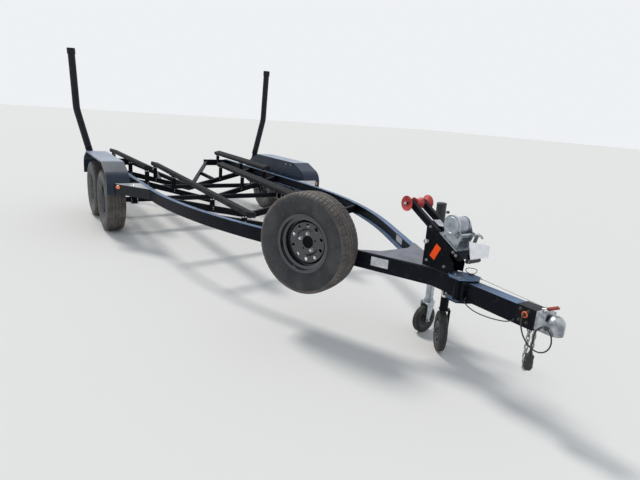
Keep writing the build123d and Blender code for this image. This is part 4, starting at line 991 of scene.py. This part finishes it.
# Jack: black cover on top, knob, collars, and the bolts of both legs' brackets
COVER_Z, KNOB_Z, COLLARS = 799, 841.5, (348, 786)
profile = ((0, 31.4), (0.5, 32.8), (4, 33.2), (58, 32.6), (60, 31.8), (92, 31.8), (96, 32.8),
           (104, 32.8), (109, 29), (111, 12))
black_part("jack_cover", [lathe(profile, (JACK_X, JACK_Y, COVER_Z), UP, 36)])
profile = ((0, 6.5), (4, 9), (20, 9.5), (25, 7))
black_part("jack_knob", [lathe(profile, (JACK_X + 54, JACK_Y, KNOB_Z), (1, 0, -0.06), 20)])
outline = ((0, 31), (0, 35), (10, 35), (10, 31))
parts = [ring_solid(outline, (JACK_X, JACK_Y, z), UP, 36) for z in COLLARS]
make("jack_collars", parts, "trailer", GALVANISED)
parts = []
for x, y in ((JACK_X, JACK_Y), (DOLLY_X, DOLLY_Y)):
    gap = (x - rail_x(y)) * cos(BEND)
    place = Matrix.Translation((x, y, 0)) @ Matrix.Rotation(-BEND, 4, "Z")
    for dy in (-44, 44):
        for z in (504, 568):
            parts += moved_all(bolt((-gap + 8, dy, z), RIGHT, 8), place)
hardware("leg_bracket_bolts", parts)


# Small wheels: rubber tread and a pressed hub
def small_wheel(name, body, node_name, place, r, w, hub_r, hub_half, bore, finish):
    half = w / 2
    rubber = symmetric([
        (-half + 2, hub_r), (-half, hub_r + 6), (-half, r - 12), (-half + 4, r - 3), (-half + 9, r),
        (-4, r), (-3, r - 2.5)])
    disc = symmetric([
        (-hub_half, bore), (-hub_half, bore + 9), (-14, bore + 12), (-8, bore + 20),
        (-8, hub_r * 0.72), (-half + 6, hub_r * 0.86), (-half + 3, hub_r), (-half + 4, hub_r + 3)])
    rubber, disc = (moved(ring_solid(outline, ORIGIN, RIGHT, 72), place) for outline in (rubber, disc))
    tyre = make(f"{name}_tread", [rubber], body, WHEEL_RUBBER)
    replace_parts(tyre, node_name)
    make(f"{name}_hub", [disc], body, finish)


def turned(degrees):
    return Matrix.Rotation(radians(degrees), 4, "Z")


CASTER = (Matrix.Translation((JACK_X, JACK_Y, CASTER_R)) @ turned(CASTER_DEG)
          @ Matrix.Translation((CASTER_TRAIL, 0, 0)) @ turned(90))
DOLLY = Matrix.Translation((DOLLY_X, DOLLY_Y, DOLLY_R)) @ turned(DOLLY_DEG - 90)
small_wheel("caster", "caster_roller", "caster_wheel", CASTER, CASTER_R, 42, 64, 23, 6.4, BLACK_PLASTIC)
small_wheel("dolly", "dolly_roller", "dolly_wheel", DOLLY, DOLLY_R, 50, 78, 30, 8.4, RIM_PAINT)
parts = []
for side in SIDES:
    parts += moved_all(bolt((side * 40, 0, 0), (side, 0, 0), 8), CASTER)
hardware("caster_axle_nuts", parts, BRIGHT, "caster")
hardware("dolly_axle_nut", moved_all(bolt((-41, 0, 0), LEFT, 11), DOLLY), BRIGHT)

# Coupler: cheek bolts, latch lever with its red grip
LATCH_Y, COUPLER_TOP = -4476, 590
parts = []
for side in SIDES:
    for y in (-4368, -4410):
        for z in (516, 572):
            parts += bolt((side * 42, y, z), (side, 0, 0), 8)
hardware("coupler_bolts", parts, DARK_ZINC, "folding_tongue")
collar = lathe(((0, 15), (10, 15), (12, 12), (14, 7)), (0, LATCH_Y, COUPLER_TOP), UP, 24)
lever = tube(((0, -4455, 594), (0, -4468, 599), (0, -4490, 610), (0, -4512, 622)),
             [(-3, -9), (3, -9), (3, 9), (-3, 9)])
LATCH = make("latch_lever", [collar, lever], "folding_tongue", BRIGHT)
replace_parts(LATCH, "coupler_latch")
grip = tube(((0, -4478, 605), (0, -4482, 607), (0, -4520, 627), (0, -4525, 630)),
            round_rect(10, 21, 4, 4))
make("latch_grip", [grip], "folding_tongue", RED_PAINT)

# Orange outlet of the harness
outline = ((0, 10), (0, 16), (4, 16.5), (8, 14.5), (8, 10))
outlet = ring_solid(outline, (-42, -4395, 552), LEFT, 32)
make("orange_outlet", [outlet], "folding_tongue", ORANGE_PLASTIC)

# Straight wire along the right of the tongue, with an eye at each end
WIRE_R, WIRE_EYE_R = 1.5, 5
parts = [tube(((60, -4040, 600), (45, -4435, 589)), WIRE_R, sides=8)]
for centre in ((60, -4036, 600), (45, -4440, 589)):
    eye = arc(centre, ASTERN, UP, WIRE_EYE_R, 0, 360, 14)[:-1]
    parts.append(tube(eye, WIRE_R, closed=True, sides=8))
hardware("tongue_wire", parts, body="folding_tongue")

# Pull pin with a flattened ring of wire through its head
profile = ((0, 9), (8, 9), (8, 14.4), (9, 15), (12.5, 15), (14, 13))
pin = lathe(profile, (60, -3971, 592), UP, 32)
loop = ((58, -3970, 607), (47, -3963, 610), (38, -3957, 615), (31, -3952, 623), (27, -3950, 631),
        (32, -3953, 638), (43, -3960, 642), (61, -3972, 640), (74, -3981, 637), (82, -3986, 630),
        (81, -3985, 619), (72, -3979, 610))
PULL_PIN = hardware("pull_pin_ring", [pin, tube(loop, 2.2, closed=True)], DARK_ZINC)
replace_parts(PULL_PIN, "pull_pin")

# Shackle below the stub, on its left
SHACKLE_X, SHACKLE_Y, SHACKLE_R = -40, -3881, 15
line = [(SHACKLE_X, SHACKLE_Y + SHACKLE_R, 484)]
line += arc((SHACKLE_X, SHACKLE_Y, 470), ASTERN, DOWN, SHACKLE_R, 0, 180, 12)
line.append((SHACKLE_X, SHACKLE_Y - SHACKLE_R, 484))
hardware("stub_shackle", [tube(line, 6.5, sides=14)], PALE_ZINC)

# Hinge: bolts on the upper and the lower plate
parts = []
for x in (-30, 30):
    parts += bolt((x, -3930, 600), UP, 8)
    parts += bolt((x, -3930, 470), DOWN, 8)
hardware("hinge_bolts", parts)

# Winch strap's end over the tie between the arms
STRAP_HALF, STRAP_T = 25, 1.3
path = [arm_point(s, up) for s, up in (
    (292, 92), (285, 70), (272, 48), (252, 32), (236, 24.5), (222, 22), (200, 22), (186, 21),
    (181, 17), (180, 8), (180.5, -8), (182, -24))]
outline = [(x * STRAP_HALF, t * STRAP_T) for x, t in
           ((-1, -1), (0, -1), (1, -1), (1, 1), (0, 1), (-1, 1))]
rings = []
for i, p in enumerate(path):
    d = (path[min(i + 1, len(path) - 1)] - path[max(i - 1, 0)]).normalized()
    out = Vector(RIGHT).cross(d).normalized()
    rings.append([p + Vector((x, 0, 0)) + out * t for x, t in outline])
make("winch_strap_end", [skin(rings)], "trailer", WEBBING, sharp=60)

# Blank paper tag that hangs from the front of the winch
TAG_ROWS, TAG_COLS, TAG_FOLD, PAPER_T = 22, 26, 5, 0.0006
TAG_OUT = Vector((-0.55, -0.83, 0))
TAG_CORNERS = [Vector(p) for p in (  # from the top left, clockwise
    (-12, -3976, 802), (84, -4040, 790), (86, -4040, 722), (6, -3988, 700))]
grid, faces = [], []
for i in range(TAG_ROWS + 1):
    v = i / TAG_ROWS
    for j in range(TAG_COLS + 1):
        u = j / TAG_COLS
        p = ((TAG_CORNERS[0] * (1 - u) + TAG_CORNERS[1] * u) * (1 - v)
             + (TAG_CORNERS[3] * (1 - u) + TAG_CORNERS[2] * u) * v)
        wrinkle = (noise.noise(Vector((u * 3.1, v * 2.6, 4))) * 9
                   + noise.noise(Vector((u * 9, v * 8, 9))) * 2.4)
        fold = TAG_FOLD * sin(pi * u) * (1 - v)
        grid.append(p + TAG_OUT * (wrinkle + fold))
for i in range(TAG_ROWS):
    for j in range(TAG_COLS):
        a = i * (TAG_COLS + 1) + j
        b = a + TAG_COLS + 1
        faces.append((a, a + 1, b + 1, b))
TAG = make("paper_tag", [(grid, faces)], "trailer", PAPER, sharp=60)
TAG.modifiers.new("thickness", "SOLIDIFY").thickness = PAPER_T
tie = (TAG_CORNERS[0] + Vector((4, -2, -4)), (20, -3965, 806), arm_point(415, 34, 40))
make("tag_tie", [tube(tie, 0.9, sides=6)], "trailer", PAPER)


# Floor, sky and sun
def make_floor():
    size = 60
    corners = [(x * size, y * size, 0) for x, y in ((-1, -1), (1, -1), (1, 1), (-1, 1))]
    mesh = bpy.data.meshes.new("floor")
    mesh.from_pydata(corners, [], [(0, 1, 2, 3)])
    obj = add_object("floor", mesh)
    made = bpy.data.materials.new("pale_floor")
    made.use_nodes = True
    shader = made.node_tree.nodes["Principled BSDF"]
    shader.inputs["Base Color"].default_value = (0.62, 0.61, 0.60, 1)
    shader.inputs["Roughness"].default_value = 0.95
    shader.inputs["Specular IOR Level"].default_value = 0.1
    mesh.materials.append(made)


def make_world():
    """Bluish light on the part, and a paler sky where the camera or a mirror-like face sees it."""
    world = bpy.data.worlds.new("studio")
    SCENE.world = world
    world.use_nodes = True
    tree = world.node_tree
    tree.nodes.clear()
    light = node(tree, "Background", Color=(0.86, 0.93, 1.0, 1), Strength=0.75)
    seen = node(tree, "Background", Color=(0.86, 0.88, 0.90, 1), Strength=1.0)
    rays = node(tree, "LightPath").outputs
    both = maths(tree, "MAXIMUM", rays["Is Camera Ray"], rays["Is Glossy Ray"])
    either = maths(tree, "MAXIMUM", both, rays["Is Transmission Ray"])
    mix = node(tree, "MixShader", either, light.outputs[0], seen.outputs[0])
    node(tree, "OutputWorld", mix.outputs[0])


def make_sun():
    data = bpy.data.lights.new("key", "SUN")
    data.energy = 2.4
    data.angle = 0.25
    data.color = (1.0, 0.97, 0.92)
    key = add_object("key", data)
    key.rotation_euler = Vector((0.10, -0.62, -0.78)).to_track_quat("-Z", "Y").to_euler()


make_floor()
make_world()
make_sun()
